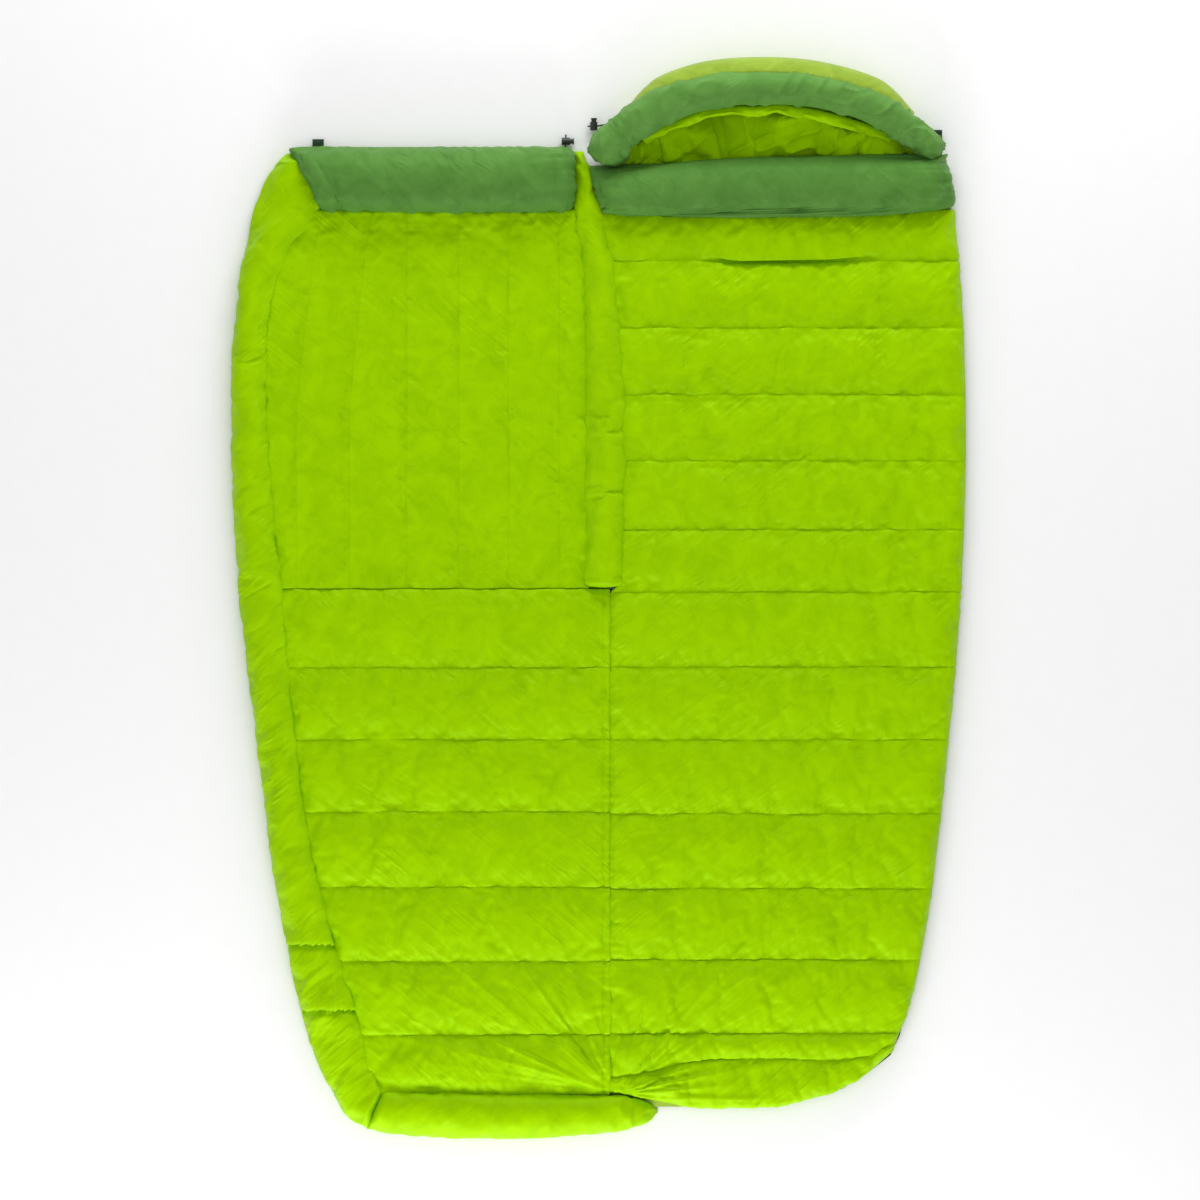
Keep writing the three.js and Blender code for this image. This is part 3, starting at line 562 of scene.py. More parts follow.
def close_with(piece, height):
    """Closes an open sheet with a flat face at a height, cut into strips where the quilt folds."""
    bm = bmesh.new()
    bm.from_mesh(piece.data)
    rim = [edge for edge in bm.edges if edge.is_boundary]
    made = bmesh.ops.extrude_edge_only(bm, edges=rim)["geom"]
    lowered = [part for part in made if isinstance(part, bmesh.types.BMVert)]
    for vertex in lowered:
        vertex.co.z = height
    loop = [part for part in made if isinstance(part, bmesh.types.BMEdge) and part.is_boundary]
    faces = bmesh.ops.contextual_create(bm, geom=loop)["faces"]
    for x in np.linspace(*FOLD_ZONE, 7):
        parts = {part for face in faces for part in (face, *face.edges, *face.verts)}
        cut = bmesh.ops.bisect_plane(bm, geom=list(parts), plane_co=(x, 0, 0), plane_no=(1, 0, 0))
        faces = [part for part in cut["geom"] if isinstance(part, bmesh.types.BMFace)]
    bmesh.ops.triangulate(bm, faces=[face for face in bm.faces if len(face.verts) > 4])
    bmesh.ops.recalc_face_normals(bm, faces=bm.faces)
    bm.to_mesh(piece.data)
    bm.free()
    shade_smooth(piece)


def dress(piece, lean, crease=1.0, gather=0.0):
    """Says which way a piece's drag lines run, 0 down to the right and 1 up, and how strong they are."""
    count = len(piece.data.vertices)
    for name, value in (("lean", lean), ("crease", crease), ("gather", gather)):
        keep_attribute(piece, name, np.full(count, value))


def shade_smooth(piece):
    piece.data.polygons.foreach_set("use_smooth", [True] * len(piece.data.polygons))
    piece.data.update()


# %% [markdown]
# ## Where the panels end
# The front panel ends at the side tube, whose inner edge the CAD tube's own rows give. The two
# panels meet at the centre seam. Above it they part for the short zip, under its draft tube.
# Each edge goes on a little way under the tube that covers it, as the cloth of a real one does.


# %% Lines where the panels end
def round_line(places, at):
    """A smooth line through a few places, for at from 0 to 1 by its length."""
    places = np.asarray(places, float)
    steps = np.r_[0, np.cumsum(np.linalg.norm(np.diff(places, axis=0), axis=1))]
    steps = steps / steps[-1]
    slopes = np.gradient(places, steps, axis=0)
    spot = np.clip(np.searchsorted(steps, at, "right") - 1, 0, len(steps) - 2)
    width = (steps[spot + 1] - steps[spot])[:, None]
    t = ((at - steps[spot]) / (steps[spot + 1] - steps[spot]))[:, None]
    start, end = places[spot], places[spot + 1]
    blend = (1 + 2 * t) * (1 - t) ** 2 * start + t * t * (3 - 2 * t) * end
    return blend + t * (1 - t) ** 2 * width * slopes[spot] + t * t * (t - 1) * width * slopes[spot + 1]


def rows_at(name, height_mm, axis):
    """The places of a CAD node's corners at one height, in order along an axis, without repeats."""
    points = points_of(nodes[name])
    level = points[np.abs(points[:, 2] - height_mm * MM) < 0.05 * MM]
    level = level[np.argsort(level[:, axis])]
    apart = np.r_[True, np.linalg.norm(np.diff(level[:, :2], axis=0), axis=1) > 1 * MM]
    return level[apart][:, :2]


UNDERLAP = 7 * MM  # how far a panel goes on under the tube beside it
TOUCH = 0.15 * MM  # what is left between two panels that are sewn together

CENTRE_X = (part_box("leg_lining")[1].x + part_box("back_lining")[0].x) / 2
CHEST_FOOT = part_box("leg_lining")[1].y
side_outer = rows_at("side_draft_tube", 3, 1)
side_inner = rows_at("side_draft_tube", 14, 1)
field_line = round_line(side_inner, np.linspace(0, 1, 120))
centre_sides = outline("centre_draft_tube", 1)
back_sides = outline("back_lining", 1)


def field_edge(y):
    return np.interp(y, field_line[:, 1], field_line[:, 0]) - UNDERLAP


def centre_seam(y):
    return np.full_like(y, CENTRE_X - TOUCH)


def parted_by_zip(y):
    """0 where the two panels are sewn together, and 1 above the chest's foot, where they part."""
    return ease((y - CHEST_FOOT + 10 * MM) / (24 * MM))


def back_inner_edge(y):
    """The centre seam, which steps aside to the short zip above the chest's foot."""
    beside_zip = centre_sides[1](y) - UNDERLAP
    above = parted_by_zip(y)
    return (CENTRE_X + TOUCH) * (1 - above) + beside_zip * above


CURVE_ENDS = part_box("back_fill_3")[0].y  # the back panel's lower edge is curved below this
EDGE_LEAN = 0.33  # how the outer edge goes on below it, in X for each Y


def back_outer_edge(y):
    return back_sides[1](np.maximum(y, CURVE_ENDS)) + EDGE_LEAN * np.minimum(y - CURVE_ENDS, 0)


def chest_foot(x):
    return np.full_like(x, CHEST_FOOT + TOUCH)


def chest_top(x):
    return np.full_like(x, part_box("chest_lining")[1].y + UNDERLAP)


print("centre seam at X in mm:", round(CENTRE_X / MM, 1), "side tube rows:", len(side_inner))

# %% [markdown]
# ## Quilted panels
# A panel is a row of chambers. A place in it is a chamber number with the share across it, and a
# share along it. The sewn lines come from the CAD fills: the line between two chambers lies
# halfway between their fills. The same map serves the lining, which shows, and the shell below.


# %% The map of a panel
CELL = 6.5  # spacing of a panel's grid, in mm
SEAM_TOP = 24
CREST = 34
RIM_TOP = 12.6  # where the lining meets the shell along the back panel's open rim
FILLET = 34  # the chambers slope down over this length towards their ends
CENTRE_HIGH = 0.6  # how much of its height a chamber keeps at the centre seam
CHAMBERS = {"chest": 7, "leg": 7, "back": 14}


def fills(prefix):
    return [f"{prefix}_fill_{i + 1}" for i in range(CHAMBERS[prefix])]


def panel_map(prefix, upright, low_end, high_end, curved=0):
    """Returns place(stop, share) giving X and Y, for a stop from 0 to the count of chambers. Its
    lines are straight across the panel except the first few, which follow their fills' outlines.
    An upright panel's lines all do. The panel's ends are given as lines of their own."""
    count = CHAMBERS[prefix]
    traced = count if upright else curved
    sides = [outline(name, int(upright), reach=7) for name in fills(prefix)[: traced + 1]]
    boxes = [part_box(name) for name in fills(prefix)]

    def seam(k, at):
        if prefix == "leg" and k == 0:
            return np.full_like(at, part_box("leg_lining")[0].y - UNDERLAP)
        if prefix == "back" and k == count:
            return np.full_like(at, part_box("neck_collar")[0].y + 2 * UNDERLAP)
        if upright and k == 0:
            return field_edge(at)
        if upright and k == count:
            return centre_sides[0](at) + UNDERLAP
        beside = [i for i in (k - 1, k) if 0 <= i < count]  # the high side of one, the low of the next
        if k >= traced and not upright:
            ends = [boxes[i][k - i].y for i in beside]
            return np.full_like(at, sum(ends) / len(ends))
        ends = [sides[i][k - i](at) for i in beside]
        return sum(ends) / len(ends)

    def place(stop, share):
        chamber = np.clip(np.floor(stop), 0, count - 1).astype(int)
        part = stop - chamber
        across = seam(0, np.zeros_like(share))
        for _ in range(5):  # a place depends on both of its lines, so it is found in a few rounds
            along = low_end(across) * (1 - share) + high_end(across) * share
            lines = np.array([seam(k, along) for k in range(count + 1)])
            index = np.arange(len(share))
            across = lines[chamber, index] * (1 - part) + lines[chamber + 1, index] * part
        return (across, along) if upright else (along, across)

    return place


def even_stops(place, count):
    """Stops along a panel's chambers, spaced by about one cell, and at least four to a chamber."""
    stops = [0.0]
    for i in range(count):
        ends = [np.ravel(place(np.array([i + k]), np.array([0.5]))) for k in (0.0, 1.0)]
        cells = max(4, round(math.dist(*ends) / (CELL * MM)))
        stops.extend(i + (k + 1) / cells for k in range(cells))
    return np.array(stops)


def bulge(part, power=0.85):
    """How far a chamber has risen at a share across it."""
    return np.sin(np.pi * np.clip(part, 0, 1)) ** power


def end_slope(share, length, kept):
    """How far a chamber has risen at a share along it. It slopes down over a fillet at each end,
    to the height that it keeps there."""
    at_low, at_high = (
        end + (1 - end) * np.sin(np.pi / 2 * np.clip(off * length / (FILLET * MM), 0, 1)) ** 0.7
        for end, off in zip(kept, (share, 1 - share))
    )
    return at_low * at_high


def quilt_panel(prefix, upright, place, rims, crest=CREST, kept=(0, 0), pressure=2.3):
    """A lining panel, simulated. rims says how far its low end, high end and first line drop, and
    kept how much of its height a chamber keeps at its low and its high end."""
    count = CHAMBERS[prefix]
    stops = even_stops(place, count)
    low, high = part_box(f"{prefix}_lining")
    length = (high - low)[int(upright)]
    columns = round(length / (CELL * MM))

    def lay(share, row):
        stop = stops[np.round(row * (len(stops) - 1)).astype(int)]
        part = stop - np.floor(stop)
        x, y = place(stop, share)
        sewn = near(part, 0, 60) + near(part, 1, 60)
        wander = noise(share * length / 0.09, np.round(stop) * 3, 11)
        height = SEAM_TOP + (crest - SEAM_TOP) * bulge(part) * end_slope(share, length, kept)
        drop = np.maximum(rims[0] * (share < 1e-6), rims[1] * (share > 1 - 1e-6))
        drop = np.maximum(drop, rims[2] * (stop < 1e-6))
        height = height + sewn * wander * 1.2 - drop
        height = height + 0.5 * noise(x / 0.012, y / 0.012, 3) * bulge(part)
        inner = (stop > 1e-6) & (stop < count - 1e-6) & (share > 0.01) & (share < 0.99)
        shift = wander * 1.4 * MM * sewn * inner
        x, y = (x + shift, y) if upright else (x, y + shift)
        return np.stack([x, y, height * MM], axis=1)

    piece = sheet_of(f"{prefix}_lining_quilted", columns, len(stops) - 1, lay, lining_nylon)
    stop = stops[np.round(attribute_of(piece, "along") * (len(stops) - 1)).astype(int)]
    share = attribute_of(piece, "across")
    keep_attribute(piece, "stop", stop)
    off = np.abs(stop - np.round(stop))
    pinned = (off < 1e-6) | (share < 1e-6) | (share > 1 - 1e-6)
    swell_cloth(piece, pinned, pressure=pressure, spare=0.045, cap_mm=9, frames=22)
    subdivide(piece)
    return piece


def keep_seam_distance(piece, chamber_width):
    """Stores how far each place is from the nearest sewn line, in metres."""
    stop = attribute_of(piece, "stop")
    keep_attribute(piece, "seam", np.abs(stop - np.round(stop)) * chamber_width)


def crease_panel(piece, upright):
    """Gathers at the sewn lines, drag lines over the chambers, and pleats from the foot's pinch."""
    x, y, _ = points_of(piece).T
    seam = attribute_of(piece, "seam")
    run, off = (y, x) if upright else (x, y)
    gathers = (1 - np.abs(noise(run / 0.011, off / 0.05, 21))) ** 2.5 * near(seam, 0, 26)
    patchy = ease(0.5 + 0.9 * noise(x / 0.13, y / 0.1, 8))
    drag = np.where(x < CENTRE_X, creases(x, y, -42, 60, 15, 31), creases(x, y, 38, 60, 15, 32))
    small = creases(x, y, 70, 26, 10, 33) * (1 - near(seam, 0, 14))
    pleats = fan(x, y, FOOT_PINCH, 15, 430, 41) + 0.6 * fan(x, y, FOOT_PINCH, 34, 260, 42)
    centre = near(x, CENTRE_X, 30) * (1 - np.abs(noise(x / 0.04, y / 0.013, 51))) ** 2
    lines = near(x, CENTRE_X - 12 * MM, 3.2) + near(x, CENTRE_X + 4 * MM, 3.2)
    amount = 1.5 * gathers + patchy * (2.2 * drag + 1.0 * small) + 5.5 * pleats
    amount = amount + np.where(y < CHEST_FOOT, 2.4 * centre - 2.6 * lines, 0)
    raise_by(piece, amount * ease(seam / (2.5 * MM) + 0.25))


LAYER_MEET = 11 * MM  # height where the lining above meets the shell below
FOOT_PINCH = (CENTRE_X + 12 * MM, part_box("leg_lining")[0].y - 4 * MM)

FOLD_REACH = (190 * MM, 560 * MM)  # the part of the seam that lies in a deep fold, as X


def tuck_under(piece, seam_y):
    """Lets the chamber above a seam hang over it, so that the seam lies in a deep fold."""
    points = points_of(piece)
    low, high = FOLD_REACH
    there = ease((points[:, 0] - low) / 0.09) * ease((high - points[:, 0]) / 0.12)
    line = seam_y + 6 * MM * (points[:, 0] - low) / (high - low)
    off = points[:, 1] - line
    points[:, 2] -= 13 * MM * np.exp(-((off / (7 * MM)) ** 2)) * there
    hanging = np.exp(-(((off - 15 * MM) / (11 * MM)) ** 2)) * there
    points[:, 1] -= 15 * MM * hanging
    points[:, 2] += 4 * MM * hanging
    move_to(piece, points)


# %% [markdown]
# ## Chest, legs and back
# The chest's chambers run up and down, to keep down over the body, and all others run across.
# Each panel gets the creases that its sewing gives it, on top of what the simulation made.


# %% Chest, legs and back
chest_map = panel_map("chest", True, chest_foot, chest_top)
leg_map = panel_map("leg", False, field_edge, centre_seam)
back_map = panel_map("back", False, back_inner_edge, back_outer_edge, curved=2)

RIM_DROP = SEAM_TOP - RIM_TOP
UNDER_DROP = 8  # an edge that a tube covers lies lower than a seam, in mm
chest_rims = (0, UNDER_DROP, UNDER_DROP)
chest = quilt_panel("chest", True, chest_map, chest_rims, crest=28.5, kept=(0.7, 0.3), pressure=1.9)
legs = quilt_panel("leg", False, leg_map, (UNDER_DROP, 0, UNDER_DROP), kept=(0, CENTRE_HIGH))
back = quilt_panel("back", False, back_map, (0, RIM_DROP, RIM_DROP), kept=(CENTRE_HIGH, 0))

CHAMBER_WIDTHS = {"chest": 0.10, "leg": 0.14, "back": 0.13}
for prefix, panel in (("chest", chest), ("leg", legs), ("back", back)):
    keep_seam_distance(panel, CHAMBER_WIDTHS[prefix])
    crease_panel(panel, upright=panel is chest)
    if panel is back:
        tuck_under(panel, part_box("back_fill_14")[0].y)
    close_with(panel, LAYER_MEET + 0.2 * MM)
    dress(panel, float(panel is back), 1.0, float(panel is not chest))

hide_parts("chest_lining", *fills("chest"))
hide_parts("leg_lining", "front_baffles", *fills("leg"))
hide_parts("back_lining", "back_baffles", *fills("back"))
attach(chest, "front_panel")


def bend_at_fold(piece):
    """Bakes a piece's placement into its mesh."""
    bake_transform(piece)


for panel in (legs, back):
    bend_at_fold(panel)
print("panels after", round(time.time() - started), "s")

# %% [markdown]
# ## Stuffed tubes and rolls
# The draft tubes, the collars and the hood's ring are all the same kind of thing: a strip of
# cloth sewn into a tube and stuffed. A grid is rolled round its section, its two long edges are
# welded, and its ends are filled. The part that lies on other cloth is pinned, and the rest is
# blown up. A curve with a round bevel would be quicker, but it has no spare cloth to crease.


# %% Rolled pieces
def roll(name, around, along, place, finish, pinned, spare=0.06, pressure=3.2, cap_mm=9, frames=20):
    """A closed tube: place(u, v) goes once round for u from 0 to 1. pinned(u, v) holds it."""
    piece = sheet_of(name, around, along, place, finish)
    bm = bmesh.new()
    bm.from_mesh(piece.data)
    bmesh.ops.remove_doubles(bm, verts=bm.verts, dist=0.05 * MM)
    for _ in range(2):
        rim = [edge for edge in bm.edges if edge.is_boundary]
        if rim:
            bmesh.ops.holes_fill(bm, edges=rim, sides=0)
    bmesh.ops.triangulate(bm, faces=[face for face in bm.faces if len(face.verts) > 4])
    bmesh.ops.recalc_face_normals(bm, faces=bm.faces)
    bm.to_mesh(piece.data)
    bm.free()
    u, v = attribute_of(piece, "across"), attribute_of(piece, "along")
    swell_cloth(piece, pinned(u, v), pressure, spare, cap_mm, frames)
    subdivide(piece)
    keep_attribute(piece, "seam", np.full(len(piece.data.vertices), 1.0))
    return piece


def round_section(corners, at):
    """A smooth closed line through a section's corners, for at from 0 to 1 round it."""
    corners = np.asarray(corners, float)
    count = len(corners)
    spot = np.floor(at * count).astype(int) % count
    t = (at * count - np.floor(at * count))[:, None]
    before, start, end, after = (corners[(spot + k) % count] for k in (-1, 0, 1, 2))
    curve = 2 * start + (end - before) * t + (2 * before - 5 * start + 4 * end - after) * t**2
    return 0.5 * (curve + (3 * start - before - 3 * end + after) * t**3)


def tube_place(outer, inner, section, taper_mm, round_mm=(12, 12)):
    """Lays a section, given as share across and height in mm, between two rows of places. It is
    lower where the rows are closer than taper_mm, and rounded off over round_mm at both ends."""
    length = np.linalg.norm(np.diff(outer, axis=0), axis=1).sum()

    def place(u, v):
        low, high = round_line(outer, v), round_line(inner, v)
        width = np.linalg.norm(high - low, axis=1)
        around = round_section(section, u)
        flat = low + (high - low) * around[:, :1]
        full = np.clip(width / (taper_mm * MM), 0.05, 1)
        for off, reach in zip((v, 1 - v), round_mm):
            near_end = np.clip(off * length / (reach * MM), 0, 1)
            full = full * (0.4 + 0.6 * np.sin(np.pi / 2 * near_end) ** 0.6)
        return np.column_stack([flat, around[:, 1] * MM * full])

    return place


# %% [markdown]
# ## Draft tubes
# A draft tube hangs over each zip on the inside, so that no cold comes through it. It is sewn on
# along one edge only. The side tube goes down the front panel's outer edge and round the corner
# of the foot. Its section is a few corners with a smooth line through them, laid between the
# CAD tube's own two edges. Low down it laps over itself twice, where its strips are sewn on.

# %% Side tube
LAID_SECTION = [
    (0.03, 3), (0.0, 12), (0.05, 24), (0.18, 36), (0.38, 43), (0.6, 43), (0.82, 38), (0.99, 30),
    (1.06, 21), (0.99, 14), (0.86, 12), (0.7, 20), (0.34, 20), (0.27, 4), (0.12, 2),
]


def at_ends(v):
    return (v < 0.002) | (v > 0.998)


def laid_from(corner, section):
    """Pins the part of a section, from a corner on, that lies on something, and both ends."""
    return lambda u, v: (u >= corner / len(section)) | (u < 0.01) | at_ends(v)


SIDE_OVERLAPS = (-0.660, -0.787)  # where the side tube's upper part laps over its lower, as Y


def crease_tube(piece, degrees, seed, deep=1.9, wide=15, long=60):
    """Fine and broad creases over the top of a tube, in mm."""
    x, y, z = points_of(piece).T
    fine = creases(x, y, degrees, long, wide, seed)
    broad = creases(x, y, degrees + 18, long * 1.6, wide * 2.2, seed + 1)
    some = ease(0.55 + 0.9 * noise(x / 0.09, y / 0.09, seed + 2))
    top = ease((z - 12 * MM) / (12 * MM))
    raise_by(piece, (deep * fine * some + deep * 0.9 * broad - 0.6) * top)


shoulder = side_inner.copy()
shoulder[-4:] += np.array([[5, 0], [24, 0], [26, 6], [14, 4]]) * MM  # its top spreads to the collar
side_place = tube_place(side_outer, shoulder, LAID_SECTION, 40, (14, 16))
laid = laid_from(8.4, LAID_SECTION)
side_tube = roll("side_draft_tube_stuffed", 26, 300, side_place, lining_nylon, laid)
crease_tube(side_tube, 34, 61, deep=2.6, wide=14)
dress(side_tube, 1.0, 1.5)
tube_points = points_of(side_tube)
for overlap in SIDE_OVERLAPS:
    above = (tube_points[:, 1] - overlap) / MM
    lying = ease((tube_points[:, 2] - 14 * MM) / (8 * MM))
    tucked = 8 * np.exp(-(((above + 5) / 6) ** 2)) * (above < 0)
    lapped = 5 * np.exp(-np.maximum(above, 0) / 30) * (above >= 0)
    tube_points[:, 2] += (lapped - tucked) * lying * MM
    tube_points[:, 1] -= 7 * MM * np.exp(-np.maximum(above, 0) / 12) * (above >= 0) * lying
move_to(side_tube, tube_points)
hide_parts("side_draft_tube")
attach(side_tube, "front_panel")

# %% [markdown]
# ### Foot tube
# The foot tube goes on from the corner across the foot, past the centre seam, to a free end. The
# CAD has it as two nodes, one on each panel. Here it is one piece, because a seam between them
# would open when the panels fold.

# %% Foot tube, in one piece with its free end
FOOT_NODES = ("foot_draft_tube", "foot_tube_end")
foot_outer, foot_inner = (
    np.concatenate([rows_at(name, height, 0) for name in FOOT_NODES]) for height in (3, 14)
)
foot_outer = foot_outer[np.argsort(foot_outer[:, 0])]
foot_inner = foot_inner[np.argsort(foot_inner[:, 0])]
foot_outer[0] += np.array([-11, 2]) * MM  # its start goes on into the side tube's end
foot_inner[0] += np.array([-10, 4]) * MM
print("foot tube rows:", len(foot_outer), len(foot_inner))
foot_place = tube_place(foot_outer, foot_inner, LAID_SECTION, 55, (16, 8))
foot_tube = roll("foot_draft_tube_stuffed", 26, 90, foot_place, lining_nylon, laid, spare=0.04)
crease_tube(foot_tube, 76, 71, deep=0.8, wide=26)
dress(foot_tube, 1.0, 0.4)
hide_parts(*FOOT_NODES)
bend_at_fold(foot_tube)

# %% [markdown]
# ### Tube over the short zip
# This one stands in an arch over the chest zip, so its section is open below where the zip runs.
# Its far edge is held down by nothing, and is drawn in at two places by the stitches across it.
# The tube is made in the same way as the others, with a section of its own.

# %% Tube over the short zip
ARCH_SECTION = [
    (-0.02, 12), (-0.06, 20), (0.02, 31), (0.2, 41), (0.42, 46), (0.62, 46), (0.82, 40), (1.0, 30),
    (1.06, 19), (1.0, 12), (0.86, 18), (0.62, 20), (0.38, 20), (0.14, 18),
]
CENTRE_NOTCHES = (0.328, 0.212)  # where its open edge is drawn in, as Y
CENTRE_SPREADS = 0.77  # it widens above this Y
centre_ys = np.linspace(*(corner.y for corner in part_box("centre_draft_tube")), 60)


def centre_row(k):
    drawn_in = sum(near(centre_ys, notch, 11) for notch in CENTRE_NOTCHES) * 7 * MM
    spread = 9 * MM * ease((centre_ys - CENTRE_SPREADS) / 0.06)
    return np.column_stack([centre_sides[k](centre_ys) + k * (spread - drawn_in), centre_ys])


centre_place = tube_place(centre_row(0), centre_row(1), ARCH_SECTION, 50, (14, 20))
arch_pins = laid_from(8.4, ARCH_SECTION)
centre_tube = roll("centre_draft_tube_stuffed", 24, 130, centre_place, lining_nylon, arch_pins)
crease_tube(centre_tube, -58, 81, deep=1.6)
dress(centre_tube, 0.0, 0.8)
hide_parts("centre_draft_tube")
bend_at_fold(centre_tube)

# %% [markdown]
# ## Collars
# Each collar is a fat roll of down that closes round the neck. Its fabric is a darker green than
# the hood's ring. Long soft folds lie along it, and its ends are gathered into their seams. The
# CAD collar's two long edges are nearly straight, so a straight line is fitted to each, and the
# roll's ends follow the CAD node's own slanting ones. Its underside rests on the lining.

# %% Collars
ROLL_SECTION = [
    (0.02, 12), (-0.04, 23), (0.01, 41), (0.15, 57), (0.36, 66), (0.6, 67), (0.83, 58), (0.97, 41),
    (1.02, 23), (0.98, 12), (0.7, 11.5), (0.3, 11.5),
]
NARROWS_OVER = 32 * MM  # and its ends are drawn together over this length
END_REACH = 8 * MM  # how far a collar's end goes on over what lies beside it


def collar(node_name, cells, seed, narrowed):
    """A roll between a CAD collar's edges. narrowed says how much it narrows at its two ends."""
    fronts, ends = outline(node_name, 0), outline(node_name, 1)
    low, high = (corner.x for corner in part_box(node_name))
    middle = low + (high - low) * np.array([0.25, 0.75])
    slopes = [np.polyfit(middle, line(middle), 1) for line in fronts]

    def place(u, v):
        around = round_section(ROLL_SECTION, u)
        for off, less in zip((v, 1 - v), narrowed):
            ending = np.sin(np.pi / 2 * np.clip(off * (high - low) / NARROWS_OVER, 0, 1)) ** 0.7
            around[:, 0] = 0.5 + (around[:, 0] - 0.5) * (1 - less * (1 - ending))
        x = low + (high - low) * v
        for _ in range(3):
            y = np.polyval(slopes[0], x) * (1 - around[:, 0]) + np.polyval(slopes[1], x) * around[:, 0]
            left, right = ends[0](y) - END_REACH, ends[1](y) + END_REACH
            x = left * (1 - v) + right * v
        off = np.minimum(v, 1 - v) * (high - low) / 0.04
        tall = 0.45 + 0.55 * np.sin(np.pi / 2 * np.clip(off, 0, 1)) ** 0.6
        height = LAYER_MEET / MM + (around[:, 1] - LAYER_MEET / MM) * tall
        return np.column_stack([x, y, height * MM])

    def held(u, v):
        return (u > 8.4 / len(ROLL_SECTION)) | at_ends(v)

    piece = roll(f"{node_name}_stuffed", 34, cells, place, collar_nylon, held, spare=0.07)
    x, y, z = points_of(piece).T
    ends = np.maximum(near(x, low, 70), near(x, high, 70))
    gathers = (1 - np.abs(noise(x / 0.09, y / 0.012, seed))) ** 2 * ends
    folds = creases(x, y, -52, 80, 34, seed + 1, 4) * near(y, y.min(), 75)
    raise_by(piece, (3.6 * gathers + 4.4 * folds) * ease(z / (20 * MM)))
    dress(piece, 0.0, 0.8)
    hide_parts(node_name)
    return piece


front_collar = collar("front_collar", 84, 91, (0.1, 0.2))
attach(front_collar, "front_panel")
neck_collar = collar("neck_collar", 108, 95, (0.2, 0.5))
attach(neck_collar, "back_panel")

# %% [markdown]
# ## Hood
# The hood lies behind the neck collar: a padded floor of lining, the crown's shell standing up
# behind it, and the stuffed ring that closes round the face. A narrow lip of lining is turned out
# under the ring. All four follow one line, the ring's middle. It repeats the CAD's own nine
# places, and one more at each end, where its cloth runs on down to the neck collar.

# %% Hood line
RING_PLACES = np.array([
    (0.004, 0.842), (0.024, 0.876), (0.062, 0.912), (0.114, 0.946), (0.191, 0.977), (0.307, 0.990),
    (0.442, 0.977), (0.538, 0.944), (0.600, 0.903), (0.628, 0.884), (0.652, 0.850),
])
RING_LOW = 37.5 * MM
RING_RISE = 44 * MM
RING_RADII = ([0, 0.15, 0.5, 0.85, 1], [38, 37, 33.5, 32, 28])
SAG = 9 * MM  # how far the ring sags towards the neck in the middle


def ring_rise(t):
    return np.sin(np.pi * np.clip(t, 0, 1)) ** 0.7


def ring_spot(t):
    """The hood's line, and the level direction out of the hood beside it."""
    flat = round_line(RING_PLACES, np.clip(t, 0, 1))
    step = 0.004
    ahead = round_line(RING_PLACES, np.clip(t + step, 0, 1))
    behind = round_line(RING_PLACES, np.clip(t - step, 0, 1))
    way = ahead - behind
    way = way / np.linalg.norm(way, axis=1)[:, None]
    return flat, np.column_stack([-way[:, 1], way[:, 0]])


# %% [markdown]
# ### Ring
# The ring holds the hood's drawcord. It is a round tube, thinner towards its ends, which rises
# towards the middle and sags to the neck there. The cord gathers it most near its two ends, and
# elsewhere a few soft folds run across it. A torus would be quicker, but its line isn't a circle.


# %% Ring
def ring_place(u, v):
    flat, out = ring_spot(v)
    angle = 2 * np.pi * u
    ends = np.sqrt(np.clip(1 - (1 - np.clip(np.minimum(v, 1 - v) / 0.035, 0, 1)) ** 2, 0.08, 1))
    radius = np.interp(v, *RING_RADII) * MM * ends
    spot = flat + out * (radius * np.cos(angle))[:, None]
    spot[:, 1] -= SAG * ring_rise(v)
    height = RING_LOW + RING_RISE * ring_rise(v) + radius * np.sin(angle)
    return np.column_stack([spot, np.maximum(height, 1 * MM)])


def ring_underside(u, v):
    return (np.abs(u - 0.75) < 0.14) | at_ends(v)


ring = roll(
    "hood_ring_stuffed", 32, 118, ring_place, ring_nylon, ring_underside, spare=0.09, cap_mm=6
)
ring_u, ring_v = attribute_of(ring, "across"), attribute_of(ring, "along")
# here a reach is in thousandths of the ring's length
ring_ends = np.maximum(near(ring_v, 0.1, 35), near(ring_v, 0.93, 40))
ring_gathers = (1 - np.abs(noise(ring_v * 95, np.sin(2 * np.pi * ring_u) * 1.5, 102))) ** 2
ring_folds = (1 - np.abs(noise(ring_v * 22 + ring_u * 3, np.cos(2 * np.pi * ring_u), 103))) ** 4
raise_by(ring, 3.4 * ring_gathers * ring_ends - 5 * ring_ends + 5 * ring_folds - 1.2)
dress(ring, 1.0, 0.8)
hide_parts("hood_ring")
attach(ring, "back_panel")

# %% [markdown]
# ### Crown
# The crown is the hood's outside: shell fabric that stands up behind the ring and leans over it.
# Its wall is a closed section carried along the ring's line, low and thin towards its ends, where
# it goes in under the ring. Only its outer side is free to swell.

# %% Crown
CROWN_REACH = (0.13, 0.88)  # where it starts and ends along the ring's line
CROWN_MIDDLE = 20  # its wall closes in on this distance from the line towards its ends, in mm
CROWN_WALL = [
    (38, 0.6), (47, 3), (52, 18), (54, 36), (53, 52), (50, 68), (44, 84), (35, 94),
    (25, 96), (18, 88), (20, 76), (27, 60), (34, 34), (36, 12),
]


